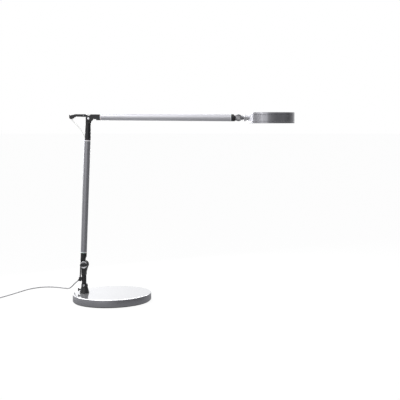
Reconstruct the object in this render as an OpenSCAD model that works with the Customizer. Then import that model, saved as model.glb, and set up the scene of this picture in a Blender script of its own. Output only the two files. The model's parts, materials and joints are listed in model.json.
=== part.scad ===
// Swing arm desk lamp: a heavy round base, a swivelling post, two tubular arms and a round LED head.
// The origin is the centre of the base's underside. +Z is up and +X points from the base to the head.
// The arms lie in the plane Y = 0.

/* [Base] */
// Diameter of the base disc
base_d = 210; // [180:1:260]
// Height of the base, with its pad
base_h = 21; // [18:0.5:28]
// Thickness of the pad under the base
pad_t = 2; // [1:0.1:3]
// Radius of the rounded upper edge of the base
base_edge_r = 1.2; // [0.4:0.1:2]
// Wall around the ballast
base_wall = 5; // [3:0.5:10]
// Thickness of the steel ballast plate
ballast_t = 10; // [6:0.5:11]
// Diameter of the circle of ballast screws
ballast_screw_pcd = 90; // [70:1:110]
// Radius of the ballast screws' shanks
ballast_screw_r = 2.5; // [1.5:0.1:3]

/* [Foot] */
// Distance of the post's axis from the centre of the base
foot_off = 75.4; // [50:0.2:80]
// Radius of the foot where it stands on the base
foot_r = 13; // [12:0.1:16]
// Radius of the foot's upper end
foot_top_r = 8.8; // [7.6:0.1:10]
// Height of the foot
foot_h = 18.6; // [16:0.2:24]
// Radius of the threaded stem under the foot
stem_r = 6; // [5:0.1:6.5]
// Wall of the plain bush in the foot
bush_wall = 1.4; // [0.8:0.1:2]
// Radius of the thumb screw's shank
thumb_r = 2.1; // [1.5:0.1:2.2]
// Width of the thumb screw's cross bar
thumb_bar_w = 5.2; // [5:0.1:9]

/* [Post] */
// Radius of the post
post_r = 6.2; // [5:0.1:6.6]
// Radius of the post's spigot in the foot
spigot_r = 4; // [3:0.1:4.2]
// Distance of the post's column from the axis that it swivels on
column_off = 1.1; // [0:0.1:1.4]
// Height of the lower hinge's axis
hinge_z = 97.6; // [90:0.2:130]
// Distance of the lower hinge's axis from the post's axis
hinge_off = 0.6; // [0:0.1:2]
// Radius of the post's eye round the lower hinge
post_eye_r = 11.4; // [11:0.1:15]
// Height of the cord clip's middle
clip_z = 58; // [55:0.5:64]

/* [Lower arm] */
// Distance between the lower hinge and the elbow
lower_len = 396.6; // [300:0.2:520]
// Lean of the lower arm from upright, in degrees
lower_lean = 1.8; // [0:0.1:4]
// Outer radius of the lower tube at its lower end
lower_tube_r1 = 8.2; // [8:0.1:9]
// Outer radius of the lower tube at its upper end
lower_tube_r2 = 8.9; // [8.6:0.1:9.5]
// Wall of both tubes
tube_wall = 1.2; // [0.8:0.1:1.3]

/* [Upper arm] */
// Distance between the elbow and the head's hinge, along the arm
upper_len = 406.4; // [300:0.2:520]
// Droop of the upper arm from level, in degrees
upper_droop = 0.45; // [0:0.05:3]
// Height of the upper tube's axis above the elbow
upper_rise = 5; // [4.6:0.1:5.6]
// Outer radius of the upper tube
upper_tube_r = 9.7; // [9.2:0.1:9.8]
// Length of the tail lever behind the elbow
tail_len = 47.6; // [38:0.2:60]
// Height of the tail lever
tail_h = 7; // [6.4:0.1:7.2]

/* [Joints] */
// Radius of the three hinge axles
axle_r = 3; // [2.5:0.1:3.2]
// Half thickness of each hinge's tongue
tongue_y = 3.6; // [3:0.1:4]
// Thickness of each friction disc
disc_t = 0.6; // [0.4:0.1:0.8]
// Thickness of each fork's cheek
cheek_t = 3.4; // [3:0.1:4]
// Radial clearance of a shaft that turns in a bore
running = 0.05; // [0.02:0.01:0.08]
// Clearance between neighbouring pieces
gap = 0.3; // [0.2:0.05:0.4]

/* [Head] */
// Diameter of the head
head_d = 128; // [110:1:180]
// Thickness of the head
head_t = 29.6; // [28:0.2:36]
// Wall of the head's rings
head_wall = 2.2; // [1.6:0.1:3]
// Height of the head's top cover
cover_h = 7; // [6:0.1:8]
// Height of the bezel round the diffuser
bezel_h = 5.4; // [5:0.1:7]
// Distance between the head's hinge and the head's edge
neck_len = 24; // [23:0.5:32]
// Radius of the neck's flange
flange_r = 9.4; // [8:0.1:11]
// Radius of the dimmer button
button_r = 6.4; // [5:0.1:8]
// Travel of the dimmer button
button_travel = 1.2; // [0.8:0.1:1.4]

/* [Cord] */
// Diameter of the low-voltage cord
cord_d = 3.5; // [3:0.1:3.8]
// Diameter of the clear lead at the elbow and in the arms
lead_d = 3; // [2.6:0.1:3.2]

/* [Hidden] */
$fn = 96;
e = 0.01;

// Base and foot
base_r = base_d / 2;
pocket_r = base_r - base_wall;
pocket_z = pad_t + ballast_t;
pad_r = base_r - 2.5;
nut_r = stem_r + 4;
nut_h = 6;
foot_x = -foot_off;
foot_top = base_h + foot_h;
bush_r = spigot_r + running + bush_wall;
cavity_r = bush_r + 0.8;
cavity_top = base_h + 5;
thumb_z = base_h + 8.6;
thumb_end = foot_off + 17.6;
clip_t = 1.2;

// Post and lower hinge
collar_h = 5.6;
collar_r = foot_top_r - 0.4;
collar_z = foot_top + gap;
post_z = collar_z + collar_h;
pin_r = 2.8;
pin_z = collar_z + collar_h / 2;
hinge_x = foot_x - hinge_off;
post_x = foot_x - column_off;
fork_in = tongue_y + disc_t + 0.1;
fork_out = fork_in + cheek_t;
tongue_eye_r = 7.4;
disc_r = tongue_eye_r - 0.3;
ring_r = 9.5;
ring_t = 1.4;
knob_r = 6;
wing_r = 4.2;
wing_off = 5;
knob_t = 5;
jumper_x = hinge_x - 10;
clip_x = post_x - 9.9;
clip_half_y = 4.6;

// Lower arm, along its own line from the lower hinge
tube_x = -2.4;
tongue_x = -1.7;
cap_shoulder = post_eye_r + 0.5;
lower_tube_s1 = 34;
lower_tube_s2 = lower_len - 61.6;
ring_h = 2.6;
end_ring_h = 2;
plug_len = 20;
tongue_drop = 13;
elbow_r = 7.2;
lead_r = lead_d / 2;
cord_r = cord_d / 2;
elbow = [hinge_x + lower_len * sin(lower_lean), 0, hinge_z + lower_len * cos(lower_lean)];

// Upper arm, along its own line from the elbow
fork_end = 31.4;
upper_tube_u1 = fork_end + ring_h;
upper_tube_u2 = upper_len - 21.6;
cap_end = upper_len - 10.2;
tail_top = upper_rise + 6.4;
tail_tip = [-tail_len + 0.6, 3];
tail_tip_r = 5.4;
slot_y = lead_r + gap;
lead_z = tail_top - lead_r - 0.5;
tilt = [
    elbow[0] + upper_len * cos(upper_droop) + upper_rise * sin(upper_droop), 0,
    elbow[2] + upper_rise * cos(upper_droop) - upper_len * sin(upper_droop)
];

// Head, from its hinge
head_r = head_d / 2;
tilt_eye_r = 9.3;
tilt_tongue_r = 7.8;
waist_r = 5;
waist_end = 14.4;
flange_x = waist_end + gap;
flange_t = 5;
head_x = neck_len + head_r;
head_half = head_t / 2;
body_top = head_half - cover_h;
body_low = -head_half + bezel_h;
seam = 0.2;
lip = 1.4;
lens_t = 2.5;
lens_r = head_r - head_wall - 1.4;
lens_z = -head_half + lip + 0.1;
board_t = 1.6;
board_r = head_r - 9;
sink_t = 3;
sink_z = -3;
fin_count = 12;
fin_h = 6;
pillar_pcd = 70;
pillar_r = 4;
button_x = -head_r + 26;
switch_h = 4;
switch_pin_h = 1.4;
switch_top = sink_z + sink_t + switch_h + switch_pin_h;

// Cord: the route of its middle line from the clip to the coil, and from the coil to the adapter
CORD_EXIT = [-91.2, 0, 55.4];
CORD_DIR = [-4, 7, -3.4];
CORD_ROUTE = [
    [-91.2, 0, 55.4], [-95, 7, 52], [-100, 18, 48], [-106, 33, 43], [-114, 53, 35.5],
    [-123, 75, 27], [-132, 97, 19], [-140, 118, 12.5], [-147, 138, 7.5], [-154, 154, 4],
    [-162, 165, 2.2], [-172, 172, 1.9], [-190, 181, 1.9], [-208, 187, 1.9], [-227, 187, 1.9],
    [-243, 180, 1.9], [-257, 167, 1.9], [-269, 148, 1.9], [-279, 122, 1.9], [-288, 96, 1.9],
    [-297, 70, 1.9], [-307, 44, 1.9], [-316, 22, 1.9], [-319, 4, 1.9]
];
coil_x = -342;
coil_y = 0;
coil_in_r = 14.4;
coil_out_r = 27;
coil_h = 13.4;
TAIL_ROUTE = [
    [-319, 4, 11.6], [-318, -6, 11.6], [-317.5, -16, 11.2], [-318.5, -26, 11], [-321, -35, 11.4],
    [-323, -42, 11.8], [-324, -48, 12], [-324, -53, 12]
];
adapter_x = -324;
adapter_y = -66;
adapter_w = 38;
adapter_len = 60;
adapter_h = 26;
boot_len = 13;
adapter_cord_z = 12;

// ---- Helpers ----

// An outline in X and Z, made solid between two places along Y
module slab(y0, y1) {
    rotate([90, 0, 0]) translate([0, 0, -y1]) linear_extrude(y1 - y0) children();
}

// The same outline on both sides of the plane Y = 0
module cheeks(y0, y1) {
    slab(y0, y1) children();
    slab(-y1, -y0) children();
}

// A round bar along Y, from y0 to y1
module bar_y(r, y0, y1) {
    translate([0, y1, 0]) rotate([90, 0, 0]) cylinder(r = r, h = y1 - y0);
}

// A round bar along X, from x0 to x1
module bar_x(r, x0, x1) {
    translate([x0, 0, 0]) rotate([0, 90, 0]) cylinder(r = r, h = x1 - x0);
}

// A flat ring about the Z axis, from z0 to z1
module ring(r_out, r_in, z0, z1) {
    translate([0, 0, z0]) difference() {
        cylinder(r = r_out, h = z1 - z0);
        translate([0, 0, -1]) cylinder(r = r_in, h = z1 - z0 + 2);
    }
}

// A flat ring about the Y axis, from y0 to y1
module ring_y(r_out, r_in, y0, y1) {
    translate([0, y1, 0]) rotate([90, 0, 0]) ring(r_out, r_in, 0, y1 - y0);
}

// Turns the local +Z to a direction and moves to a place
module along(place, dir) {
    translate(place) rotate([0, acos(dir[2] / norm(dir)), atan2(dir[1], dir[0])]) children();
}

// The frames of the moving parts
module at_foot() { translate([foot_x, 0, 0]) children(); }
module at_hinge() { translate([hinge_x, 0, hinge_z]) children(); }
module at_lower() { at_hinge() rotate([0, lower_lean, 0]) children(); }
module at_elbow() { translate(elbow) rotate([0, upper_droop, 0]) children(); }
module at_tilt() { translate(tilt) children(); }
module at_head() { at_tilt() translate([head_x, 0, 0]) children(); }

// A rectangle with round corners, from one corner to the other
module round_rect(x0, y0, x1, y1, r) {
    translate([x0 + r, y0]) square([x1 - x0 - 2 * r, y1 - y0]);
    translate([x0, y0 + r]) square([x1 - x0, y1 - y0 - 2 * r]);
    for (x = [x0 + r, x1 - r], y = [y0 + r, y1 - r]) translate([x, y]) circle(r = r);
}

// A point on a smooth curve through p1 and p2, with t from 0 to 1
function between(p0, p1, p2, p3, t) = 0.5 * (
    2 * p1 + (p2 - p0) * t + (2 * p0 - 5 * p1 + 4 * p2 - p3) * t * t
    + (3 * p1 - p0 - 3 * p2 + p3) * t * t * t
);
function smooth(points, steps) = [
    for (i = [0 : len(points) - 2], k = [0 : steps - 1])
        between(
            points[max(i - 1, 0)], points[i], points[i + 1], points[min(i + 2, len(points) - 1)],
            k / steps
        ),
    points[len(points) - 1]
];
function unit(v) = v / norm(v);
function heading(points, i) =
    unit(points[min(i + 1, len(points) - 1)] - points[max(i - 1, 0)]);
// Two directions square to a heading, chosen so that neighbouring rings don't twist
function side_of(d) = unit(cross(d, abs(d[1]) > 0.92 ? [1, 0, 0] : [0, 1, 0]));

// A round tube along a list of points, as one closed solid
module swept(points, r, sides = 8) {
    n = len(points);
    reach = r / cos(180 / sides);
    verts = [
        for (i = [0 : n - 1], k = [0 : sides - 1])
            let (d = heading(points, i), a = side_of(d), b = cross(d, a), t = (k + 0.5) * 360 / sides)
            points[i] + reach * (cos(t) * a + sin(t) * b)
    ];
    walls = [
        for (i = [0 : n - 2], k = [0 : sides - 1])
            let (m = (k + 1) % sides)
            each [
                [i * sides + k, (i + 1) * sides + k, (i + 1) * sides + m],
                [i * sides + k, (i + 1) * sides + m, i * sides + m]
            ]
    ];
    first = [for (k = [0 : sides - 1]) k];
    last = [for (k = [sides - 1 : -1 : 0]) (n - 1) * sides + k];
    polyhedron(points = verts, faces = concat([first], walls, [last]));
}

// ---- Base ----

module base_disc() color("gainsboro") {
    difference() {
        rotate_extrude() union() {
            translate([0, pad_t]) square([base_r - base_edge_r, base_h - pad_t]);
            translate([0, pad_t + base_edge_r]) square([base_r, base_h - pad_t - 2 * base_edge_r]);
            for (z = [pad_t + base_edge_r, base_h - base_edge_r])
                translate([base_r - base_edge_r, z]) circle(r = base_edge_r);
        }
        translate([0, 0, pad_t - 1]) cylinder(r = pocket_r, h = ballast_t + 1);
        at_foot() cylinder(r = stem_r + running, h = base_h + 1);
        ballast_screw_places() cylinder(r = ballast_screw_r + running, h = base_h - 3);
    }
}

module ballast_screw_places() {
    for (a = [60 : 120 : 300]) rotate([0, 0, a]) translate([ballast_screw_pcd / 2, 0, 0]) children();
}

module base_ballast() color("dimgray") {
    difference() {
        translate([0, 0, pad_t]) cylinder(r = pocket_r - gap, h = ballast_t);
        at_foot() cylinder(r = nut_r + 2.5, h = base_h);
        ballast_screw_places() {
            cylinder(r = ballast_screw_r + gap, h = base_h);
            translate([0, 0, pad_t - 1]) cylinder(r = 2 * ballast_screw_r + gap, h = 4 + 1);
        }
    }
}

module base_pad() color("black") {
    cylinder(r = pad_r, h = pad_t);
}

module ballast_screws() color("silver") {
    ballast_screw_places() {
        difference() {
            translate([0, 0, pad_t + 0.5]) cylinder(r = 2 * ballast_screw_r, h = 3.5);
            translate([0, 0, pad_t + 0.4]) cylinder(r = ballast_screw_r * 0.9, h = 2, $fn = 6);
        }
        translate([0, 0, pad_t + 4]) cylinder(r = ballast_screw_r, h = base_h - pad_t - 8);
    }
}

// The bell-shaped foot: its radius falls from foot_r to foot_top_r, faster near the bottom
function foot_at(t) = foot_top_r + (foot_r - foot_top_r) * pow(1 - t, 1.25);

module foot() color("black") {
    steps = 8;
    at_foot() difference() {
        union() {
            rotate_extrude() polygon(concat(
                [[0, base_h]],
                [for (k = [0 : steps]) [foot_at(k / steps), base_h + 0.6 + (foot_h - 1.4) * k / steps]],
                [[foot_top_r - 0.8, foot_top], [0, foot_top]]
            ));
            translate([0, 0, pad_t + 2]) cylinder(r = stem_r, h = base_h - pad_t - 2 + e);
        }
        translate([0, 0, base_h + 1.5]) cylinder(r = cavity_r, h = cavity_top - base_h - 1.5);
        translate([0, 0, base_h + 2]) cylinder(r = bush_r, h = foot_h);
        translate([0, 0, thumb_z]) bar_x(thumb_r + running, -foot_r - 5, 0);
    }
}

module foot_nut() color("silver") {
    at_foot() difference() {
        translate([0, 0, pocket_z - nut_h]) cylinder(r = nut_r, h = nut_h, $fn = 6);
        cylinder(r = stem_r + running, h = base_h);
    }
}

module foot_bush() color("tan") {
    at_foot() difference() {
        ring(bush_r - running, spigot_r + running, cavity_top, foot_top);
        translate([0, 0, thumb_z]) bar_x(thumb_r + gap, -foot_r, 0);
    }
}

module thumb_screw() color("black") {
    translate([0, 0, thumb_z]) {
        bar_x(thumb_r, -thumb_end + 2, foot_x - spigot_r - gap);
        translate([-thumb_end, 0, 0]) rotate([0, 90, 0]) linear_extrude(2.8) {
            square([thumb_bar_w, 3.4], center = true);
            for (x = [-1, 1]) translate([x * thumb_bar_w / 2, 0]) circle(r = 1.7);
        }
        bar_x(2.6, -thumb_end + 2.7, -thumb_end + 4.4);
    }
}

// ---- Post ----

// The eye's flat sides stand a little inside the round column, so that the two surfaces cross
module post_eye_outline() {
    mid = post_x - hinge_x;
    side = post_r - 0.15;
    difference() {
        union() {
            circle(r = post_eye_r);
            polygon([
                [mid - side, -30], [mid + side, -30], [mid + side, -20],
                [post_eye_r * 0.84, -post_eye_r * 0.54], [0, 0], [mid - side, 0]
            ]);
        }
        translate([mid - side - post_eye_r, -31]) square([post_eye_r, 60]);
    }
}

module post() color("black") {
    difference() {
        union() {
            at_foot() {
                translate([0, 0, cavity_top - 2.6]) cylinder(r = spigot_r, h = post_z - cavity_top + 3);
            }
            translate([post_x, 0, post_z]) cylinder(r = post_r, h = hinge_z - 24 - post_z);
            at_hinge() difference() {
                slab(-fork_out, fork_out) post_eye_outline();
                translate([0, 0, -40]) cube([60, 60, 24], center = true);
            }
        }
        at_hinge() {
            translate([-30, -fork_in, -tongue_eye_r - 1]) cube([60, 2 * fork_in, 60]);
            bar_y(axle_r + running / 2, -20, 20);
        }
        at_foot() translate([0, 0, pin_z]) bar_y(1.5 + running, -20, 0);
    }
}

module post_collar() color("black") {
    at_foot() difference() {
        union() {
            translate([0, 0, collar_z]) cylinder(r = collar_r, h = collar_h);
            translate([collar_r - 1.5, -1.8, collar_z + 0.3]) cube([2.5, 3.6, 2.6]);
        }
        cylinder(r = spigot_r + running, h = post_z);
        translate([0, 0, pin_z]) bar_y(1.5 + running, -20, 0);
    }
}

module collar_pin() color("silver") {
    at_foot() translate([0, 0, pin_z]) {
        bar_y(1.5, -collar_r - 0.4, -1);
        difference() {
            bar_y(pin_r, -collar_r - 2.2, -collar_r - 0.3);
            translate([0, -collar_r - 3, 0]) cube([0.8, 3, 2 * pin_r + 1], center = true);
        }
    }
}

module spigot_clip() color("silver") {
    at_foot() ring(cavity_r - 0.3, spigot_r + running, cavity_top - 0.2 - clip_t, cavity_top - 0.2);
}

module cord_clip() color("black") {
    difference() {
        slab(-clip_half_y, clip_half_y) {
            translate([clip_x, clip_z - 1]) circle(r = 4.4);
            translate([clip_x - 1.4, clip_z]) round_rect(-2.4, -2, 9, 6, 1.2);
        }
        translate([post_x, 0, 0]) cylinder(r = post_r + running, h = hinge_z);
        translate([clip_x, 0, clip_z + 1]) cylinder(r = cord_r + gap, h = 10);
        along(CORD_EXIT, CORD_DIR) translate([0, 0, -8]) cylinder(r = 2.6 + running, h = 20);
    }
}

module clip_boot() color("black") {
    along(CORD_EXIT, CORD_DIR) difference() {
        translate([0, 0, -7]) cylinder(r1 = 2.6, r2 = cord_r + 0.5, h = 7);
        translate([0, 0, -2]) cylinder(r = cord_r + 0.1, h = 3);
    }
}

module lower_axle() color("silver") {
    at_hinge() {
        bar_y(axle_r, -fork_out - ring_t - knob_t + 1, fork_out + ring_t + 3);
    }
}

module lower_rings() color("silver") {
    at_hinge() for (s = [0, 180]) rotate([0, 0, s]) difference() {
        ring_y(ring_r, axle_r + running, -fork_out - ring_t, -fork_out);
        ring_y(ring_r - 1.2, knob_r + 0.5, -fork_out - ring_t - 1, -fork_out - ring_t + 0.4);
    }
}

module lower_nut() color("black") {
    at_hinge() difference() {
        bar_y(knob_r, fork_out + ring_t, fork_out + ring_t + 4);
        bar_y(axle_r + running, 0, fork_out + ring_t + 3 + running);
    }
}

module lower_knob() color("black") {
    y0 = -fork_out - ring_t - 0.1;
    at_hinge() difference() {
        union() {
            bar_y(knob_r - 0.4, y0 - 1.4, y0);
            slab(y0 - knob_t, y0 - 1) {
                for (x = [-wing_off, wing_off]) translate([x, 0]) circle(r = wing_r);
                square([2 * wing_off, 2 * wing_r], center = true);
            }
        }
        bar_y(axle_r + running, y0 - knob_t + 0.9, 0);
        for (x = [-wing_off : wing_off : wing_off]) translate([x, 0, 0])
            bar_y(1.1, y0 - knob_t - 1, y0 - knob_t + 0.6);
    }
}

LOWER_JUMPER = [
    [clip_x, 0, clip_z + 1.6], [clip_x, 0, clip_z + 7], [jumper_x - 0.4, 0, hinge_z - 22],
    [jumper_x, 0, hinge_z - 12], [jumper_x + 0.5, 0, hinge_z - 2],
    [jumper_x + 1.3, 0, hinge_z + 4.4], [jumper_x + 2.6, 0, hinge_z + cap_shoulder - 0.5]
];

module lower_jumper() color("black") {
    swept(smooth(LOWER_JUMPER, 2), cord_r);
}

// ---- Lower arm ----

module lower_cap() color("black") {
    plug_r = lower_tube_r1 - tube_wall - 0.2;
    at_lower() difference() {
        union() {
            translate([tube_x, 0, cap_shoulder])
                cylinder(r = lower_tube_r1, h = lower_tube_s1 - end_ring_h - cap_shoulder);
            translate([tube_x, 0, lower_tube_s1 - end_ring_h - e]) cylinder(r = plug_r, h = plug_len);
            slab(-tongue_y, tongue_y) {
                circle(r = tongue_eye_r);
                translate([-4.6, 0]) square([6.8, cap_shoulder + 4]);
                polygon([[-9.8, 9], [-9.8, cap_shoulder + 4], [0, cap_shoulder + 4], [0, 6], [-7, 6]]);
            }
        }
        translate([14.4, 0, 13.5]) bar_y(12, -12, 12);
        translate([-14, -cord_r - gap, 4]) cube([9.4, cord_d + 2 * gap, cap_shoulder]);
        translate([-14, -cord_r - gap, cap_shoulder - 1])
            cube([14, cord_d + 2 * gap, plug_len + lower_tube_s1]);
        bar_y(axle_r + running, -20, 20);
    }
}

module lower_discs() color("peru") {
    at_hinge() for (s = [0, 180]) rotate([0, 0, s])
        ring_y(disc_r, axle_r + running, tongue_y, tongue_y + disc_t);
}

module lower_tube() color("silver") {
    h = lower_tube_s2 - lower_tube_s1;
    at_lower() translate([tube_x, 0, lower_tube_s1]) difference() {
        cylinder(r1 = lower_tube_r1, r2 = lower_tube_r2, h = h);
        translate([0, 0, -e])
            cylinder(r1 = lower_tube_r1 - tube_wall, r2 = lower_tube_r2 - tube_wall, h = h + 2 * e);
    }
}

module lower_tube_rings() color("white") {
    at_lower() translate([tube_x, 0, 0]) {
        ring(lower_tube_r1 + 0.1, lower_tube_r1 - tube_wall - 0.1, lower_tube_s1 - end_ring_h, lower_tube_s1);
        ring(lower_tube_r2 + 0.1, lower_tube_r2 - tube_wall - 0.1, lower_tube_s2, lower_tube_s2 + ring_h);
    }
}

LOWER_LEAD = [
    [-7.6, 0, cap_shoulder + 0.6], [-6.6, 0, cap_shoulder + 7], [-4.6, 0, cap_shoulder + 15],
    [-3.6, 0, lower_tube_s1 + 6], [-2.6, 0, lower_tube_s1 + 26],
    for (k = [1 : 5]) [tube_x, 0, lower_tube_s1 + 40 + k * (lower_len - 155) / 6],
    [tube_x - 0.3, 0, lower_len - 76], [tube_x - 1.6, 0, lower_len - 64],
    [tube_x - 4.6, 0, lower_len - 55], [tube_x - 8.4, 0, lower_len - 48]
];

module lower_lead() color("whitesmoke") {
    at_lower() swept(smooth(LOWER_LEAD, 2), lead_r);
}

module elbow_tongue() color("black") {
    s1 = lower_tube_s2 + ring_h;
    s2 = lower_len - tongue_drop;
    at_lower() difference() {
        union() {
            translate([tongue_x, 0, s1]) cylinder(r1 = lower_tube_r2 - 0.3, r2 = elbow_r + 0.2, h = s2 - s1);
            translate([tube_x, 0, s1 - plug_len])
                cylinder(r = lower_tube_r2 - tube_wall - 0.3, h = plug_len + e);
            slab(-tongue_y, tongue_y) {
                translate([0, lower_len]) circle(r = elbow_r);
                translate([-elbow_r - 0.8, s2 - e]) square([2 * elbow_r + 0.8, tongue_drop - 3]);
                translate([-elbow_r, s2 - e]) square([2 * elbow_r, tongue_drop]);
            }
        }
        translate([-16, -slot_y, s1 - plug_len - 1]) cube([16 + tube_x + lead_d, 2 * slot_y, plug_len + 14]);
        translate([0, 0, lower_len]) bar_y(axle_r + running, -20, 20);
    }
}

// The clear lead from the side of the elbow tongue to the tip of the tail, in the frame of the whole lamp
ELBOW_JUMPER = [
    elbow + [-12.6, 0, -47.6], elbow + [-15.4, 0, -43], elbow + [-17.8, 0, -38], elbow + [-20.6, 0, -33],
    elbow + [-25, 0, -27], elbow + [-31.4, 0, -19.5], elbow + [-38.4, 0, -11.8], elbow + [-44.4, 0, -5.6],
    elbow + [-46.6, 0, -2.2]
];

module elbow_jumper() color("whitesmoke") {
    swept(smooth(ELBOW_JUMPER, 2), lead_r);
}

// ---- Upper arm ----

// One cheek of the elbow fork: a round eye, an ear for the tail and a bracket towards the tube
module fork_outline() {
    difference() {
        union() {
            circle(r = elbow_r + 0.4);
            translate([-18.6, 4]) square([18.6, tail_top - 4]);
            polygon([
                [-2, 0], [6.2, -8.6], [8.2, -6.8], [14, -2], [20.5, -2], [21.8, upper_rise - upper_tube_r],
                [fork_end, upper_rise - upper_tube_r], [fork_end, tail_top - 0.2], [5, tail_top - 0.2]
            ]);
        }
        polygon([
            [-7.4, tail_top + 1], [-7.4, tail_top], [-2.4, elbow_r + 0.6], [1.6, elbow_r + 0.6],
            [6, tail_top - 0.6], [6, tail_top + 1]
        ]);
        translate([15.4, -8.4]) circle(r = 7.3);
    }
}

// The solid middle of the elbow fork, which stays clear of the tongue
module fork_web() {
    difference() {
        polygon([
            [14.6, -2], [20.5, -2], [21.8, upper_rise - upper_tube_r], [fork_end, upper_rise - upper_tube_r],
            [fork_end, tail_top - 0.2], [6.8, tail_top - 0.2], [7.6, 6.2]
        ]);
        circle(r = elbow_r + 0.8);
    }
}

module elbow_fork() color("black") {
    at_elbow() difference() {
        union() {
            intersection() {
                cheeks(fork_in, fork_out) fork_outline();
                translate([0, 0, upper_rise])
                    rotate([0, 90, 0]) cylinder(r = 14, h = 200, center = true);
            }
            slab(-fork_in - e, fork_in + e) fork_web();
            translate([0, 0, upper_rise])
                bar_x(upper_tube_r - tube_wall - 0.2, fork_end - e, fork_end + plug_len);
        }
        bar_y(axle_r + running / 2, -20, 20);
        translate([4, -slot_y, 3]) cube([60, 2 * slot_y, 12]);
        translate([-13.6, 0, tail_top - 4]) bar_y(1.25 + running, -20, 20);
    }
}

module tail_outline() {
    difference() {
        union() {
            translate([-tail_len + 12, tail_top - tail_h]) square([tail_len - 20.2, tail_h]);
            translate(tail_tip) circle(r = tail_tip_r);
            polygon([
                [-tail_len + 12, tail_top], [-tail_len + 12, tail_top - tail_h],
                tail_tip + [3.4, -4.2], tail_tip + [-1, 5.3]
            ]);
            polygon([
                tail_tip + [-tail_tip_r, 0], tail_tip + [-tail_tip_r, 6.6],
                tail_tip + [2 - tail_tip_r, 6.2], tail_tip + [0, 3]
            ]);
        }
        translate([-tail_len - 1.6, tail_top + 5.4]) circle(r = 6.4);
    }
}

module tail_lever() color("black") {
    at_elbow() difference() {
        union() {
            intersection() {
                slab(-5.8, 5.8) tail_outline();
                translate([-100 - 19, -20, -20]) cube([100, 40, 60]);
            }
            slab(-fork_in + 0.1, fork_in - 0.1) tail_outline();
        }
        translate([-tail_len + 4, -slot_y, tail_top - lead_d - 1.2]) cube([60, 2 * slot_y, 12]);
        translate([-tail_len - 3.6, -slot_y, -10]) cube([12, 2 * slot_y, 30]);
        translate([-13.6, 0, tail_top - 4]) bar_y(1.25 + running, -20, 20);
    }
}

module tail_pin() color("silver") {
    at_elbow() translate([-13.6, 0, tail_top - 4])
        for (s = [-1, 1]) bar_y(1.25, s > 0 ? slot_y + 0.3 : -fork_out, s > 0 ? fork_out : -slot_y - 0.3);
}

module elbow_axle() color("silver") {
    at_elbow() difference() {
        union() {
            bar_y(axle_r, -fork_out - 0.4, fork_out + 0.4);
            bar_y(axle_r - 0.25, -fork_out - 0.8, fork_out + 0.8);
        }
        for (s = [-1, 1]) translate([0, s * (fork_out + 1.2), 0])
            bar_y(1.1, -0.9, 0.9);
    }
}

module elbow_discs() color("peru") {
    at_elbow() for (s = [0, 180]) rotate([0, 0, s])
        ring_y(elbow_r - 0.3, axle_r + running, tongue_y + 0.1, tongue_y + 0.1 + disc_t);
}

UPPER_LEAD = [
    [-tail_len + 0.8, 0, -1.6], [-tail_len + 0.2, 0, 4], [-tail_len + 3, 0, lead_z - 2],
    [-tail_len + 8, 0, lead_z], [-tail_len + 20, 0, lead_z], [-14, 0, lead_z], [-4, 0, lead_z + 0.4],
    [4, 0, lead_z + 0.2], [14, 0, lead_z - 1.6], [fork_end, 0, upper_rise + 2.4],
    [fork_end + plug_len, 0, upper_rise + 0.4],
    for (k = [1 : 5]) [fork_end + plug_len + k * (upper_len - 120) / 6, 0, upper_rise],
    [upper_len - 54, 0, upper_rise], [upper_len - 42, 0, upper_rise], [upper_len - 26, 0, upper_rise],
    [upper_len - 16, 0, upper_rise]
];

module upper_lead() color("whitesmoke") {
    at_elbow() swept(smooth(UPPER_LEAD, 2), lead_r);
}

module upper_tube() color("silver") {
    at_elbow() translate([0, 0, upper_rise]) difference() {
        bar_x(upper_tube_r, upper_tube_u1, upper_tube_u2);
        bar_x(upper_tube_r - tube_wall, upper_tube_u1 - 1, upper_tube_u2 + 1);
    }
}

module upper_tube_rings() color("white") {
    spans = [[upper_tube_u1 - ring_h, upper_tube_u1], [upper_tube_u2, upper_tube_u2 + end_ring_h]];
    at_elbow() translate([0, 0, upper_rise]) for (u = spans) difference() {
        bar_x(upper_tube_r + 0.1, u[0], u[1]);
        bar_x(upper_tube_r - tube_wall - 0.1, u[0] - 1, u[1] + 1);
    }
}

module upper_cap() color("black") {
    u1 = upper_tube_u2 + end_ring_h;
    at_elbow() translate([0, 0, upper_rise]) difference() {
        union() {
            bar_x(upper_tube_r, u1, cap_end);
            bar_x(upper_tube_r - tube_wall - 0.2, u1 - plug_len, u1 + e);
            slab(-tongue_y, tongue_y) {
                translate([upper_len, 0]) circle(r = tilt_tongue_r);
                translate([cap_end - 1, -tilt_tongue_r]) square([upper_len - cap_end + 1, 2 * tilt_tongue_r]);
            }
        }
        translate([upper_len, 0, 0]) bar_y(axle_r + running, -20, 20);
        bar_x(lead_r + gap, u1 - plug_len - 1, upper_len - 15.6);
        translate([upper_len - 9.6, 0, upper_tube_r]) bar_y(3.6, -20, 20);
    }
}

// ---- Head ----

module yoke() color("silver") {
    at_tilt() difference() {
        union() {
            difference() {
                union() {
                    bar_y(tilt_eye_r, -fork_out, fork_out);
                    bar_x(tilt_eye_r - 2.2, 0, 10.6);
                }
                translate([-20, -fork_in, -20]) cube([20 + tilt_tongue_r + 0.8, 2 * fork_in, 40]);
            }
            bar_x(waist_r, 9.4, waist_end);
            bar_x(axle_r, waist_end - 1, neck_len + 9);
        }
        bar_y(axle_r + running / 2, -20, 20);
        for (s = [0, 180]) rotate([0, 0, s])
            ring_y(tilt_eye_r - 1.2, axle_r + 3, -fork_out - 1, -fork_out + 0.5);
    }
}

module tilt_axle() color("silver") {
    at_tilt() difference() {
        union() {
            bar_y(axle_r, -fork_out - 0.4, fork_out + 0.4);
            for (s = [-1, 1]) translate([0, s * (fork_out + 0.8), 0]) bar_y(5.6, -0.8, 0.8);
        }
        for (s = [-1, 1]) rotate([0, 45, 0]) translate([0, s * (fork_out + 1.6), 0])
            cube([12, 1.8, 2], center = true);
    }
}

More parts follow.
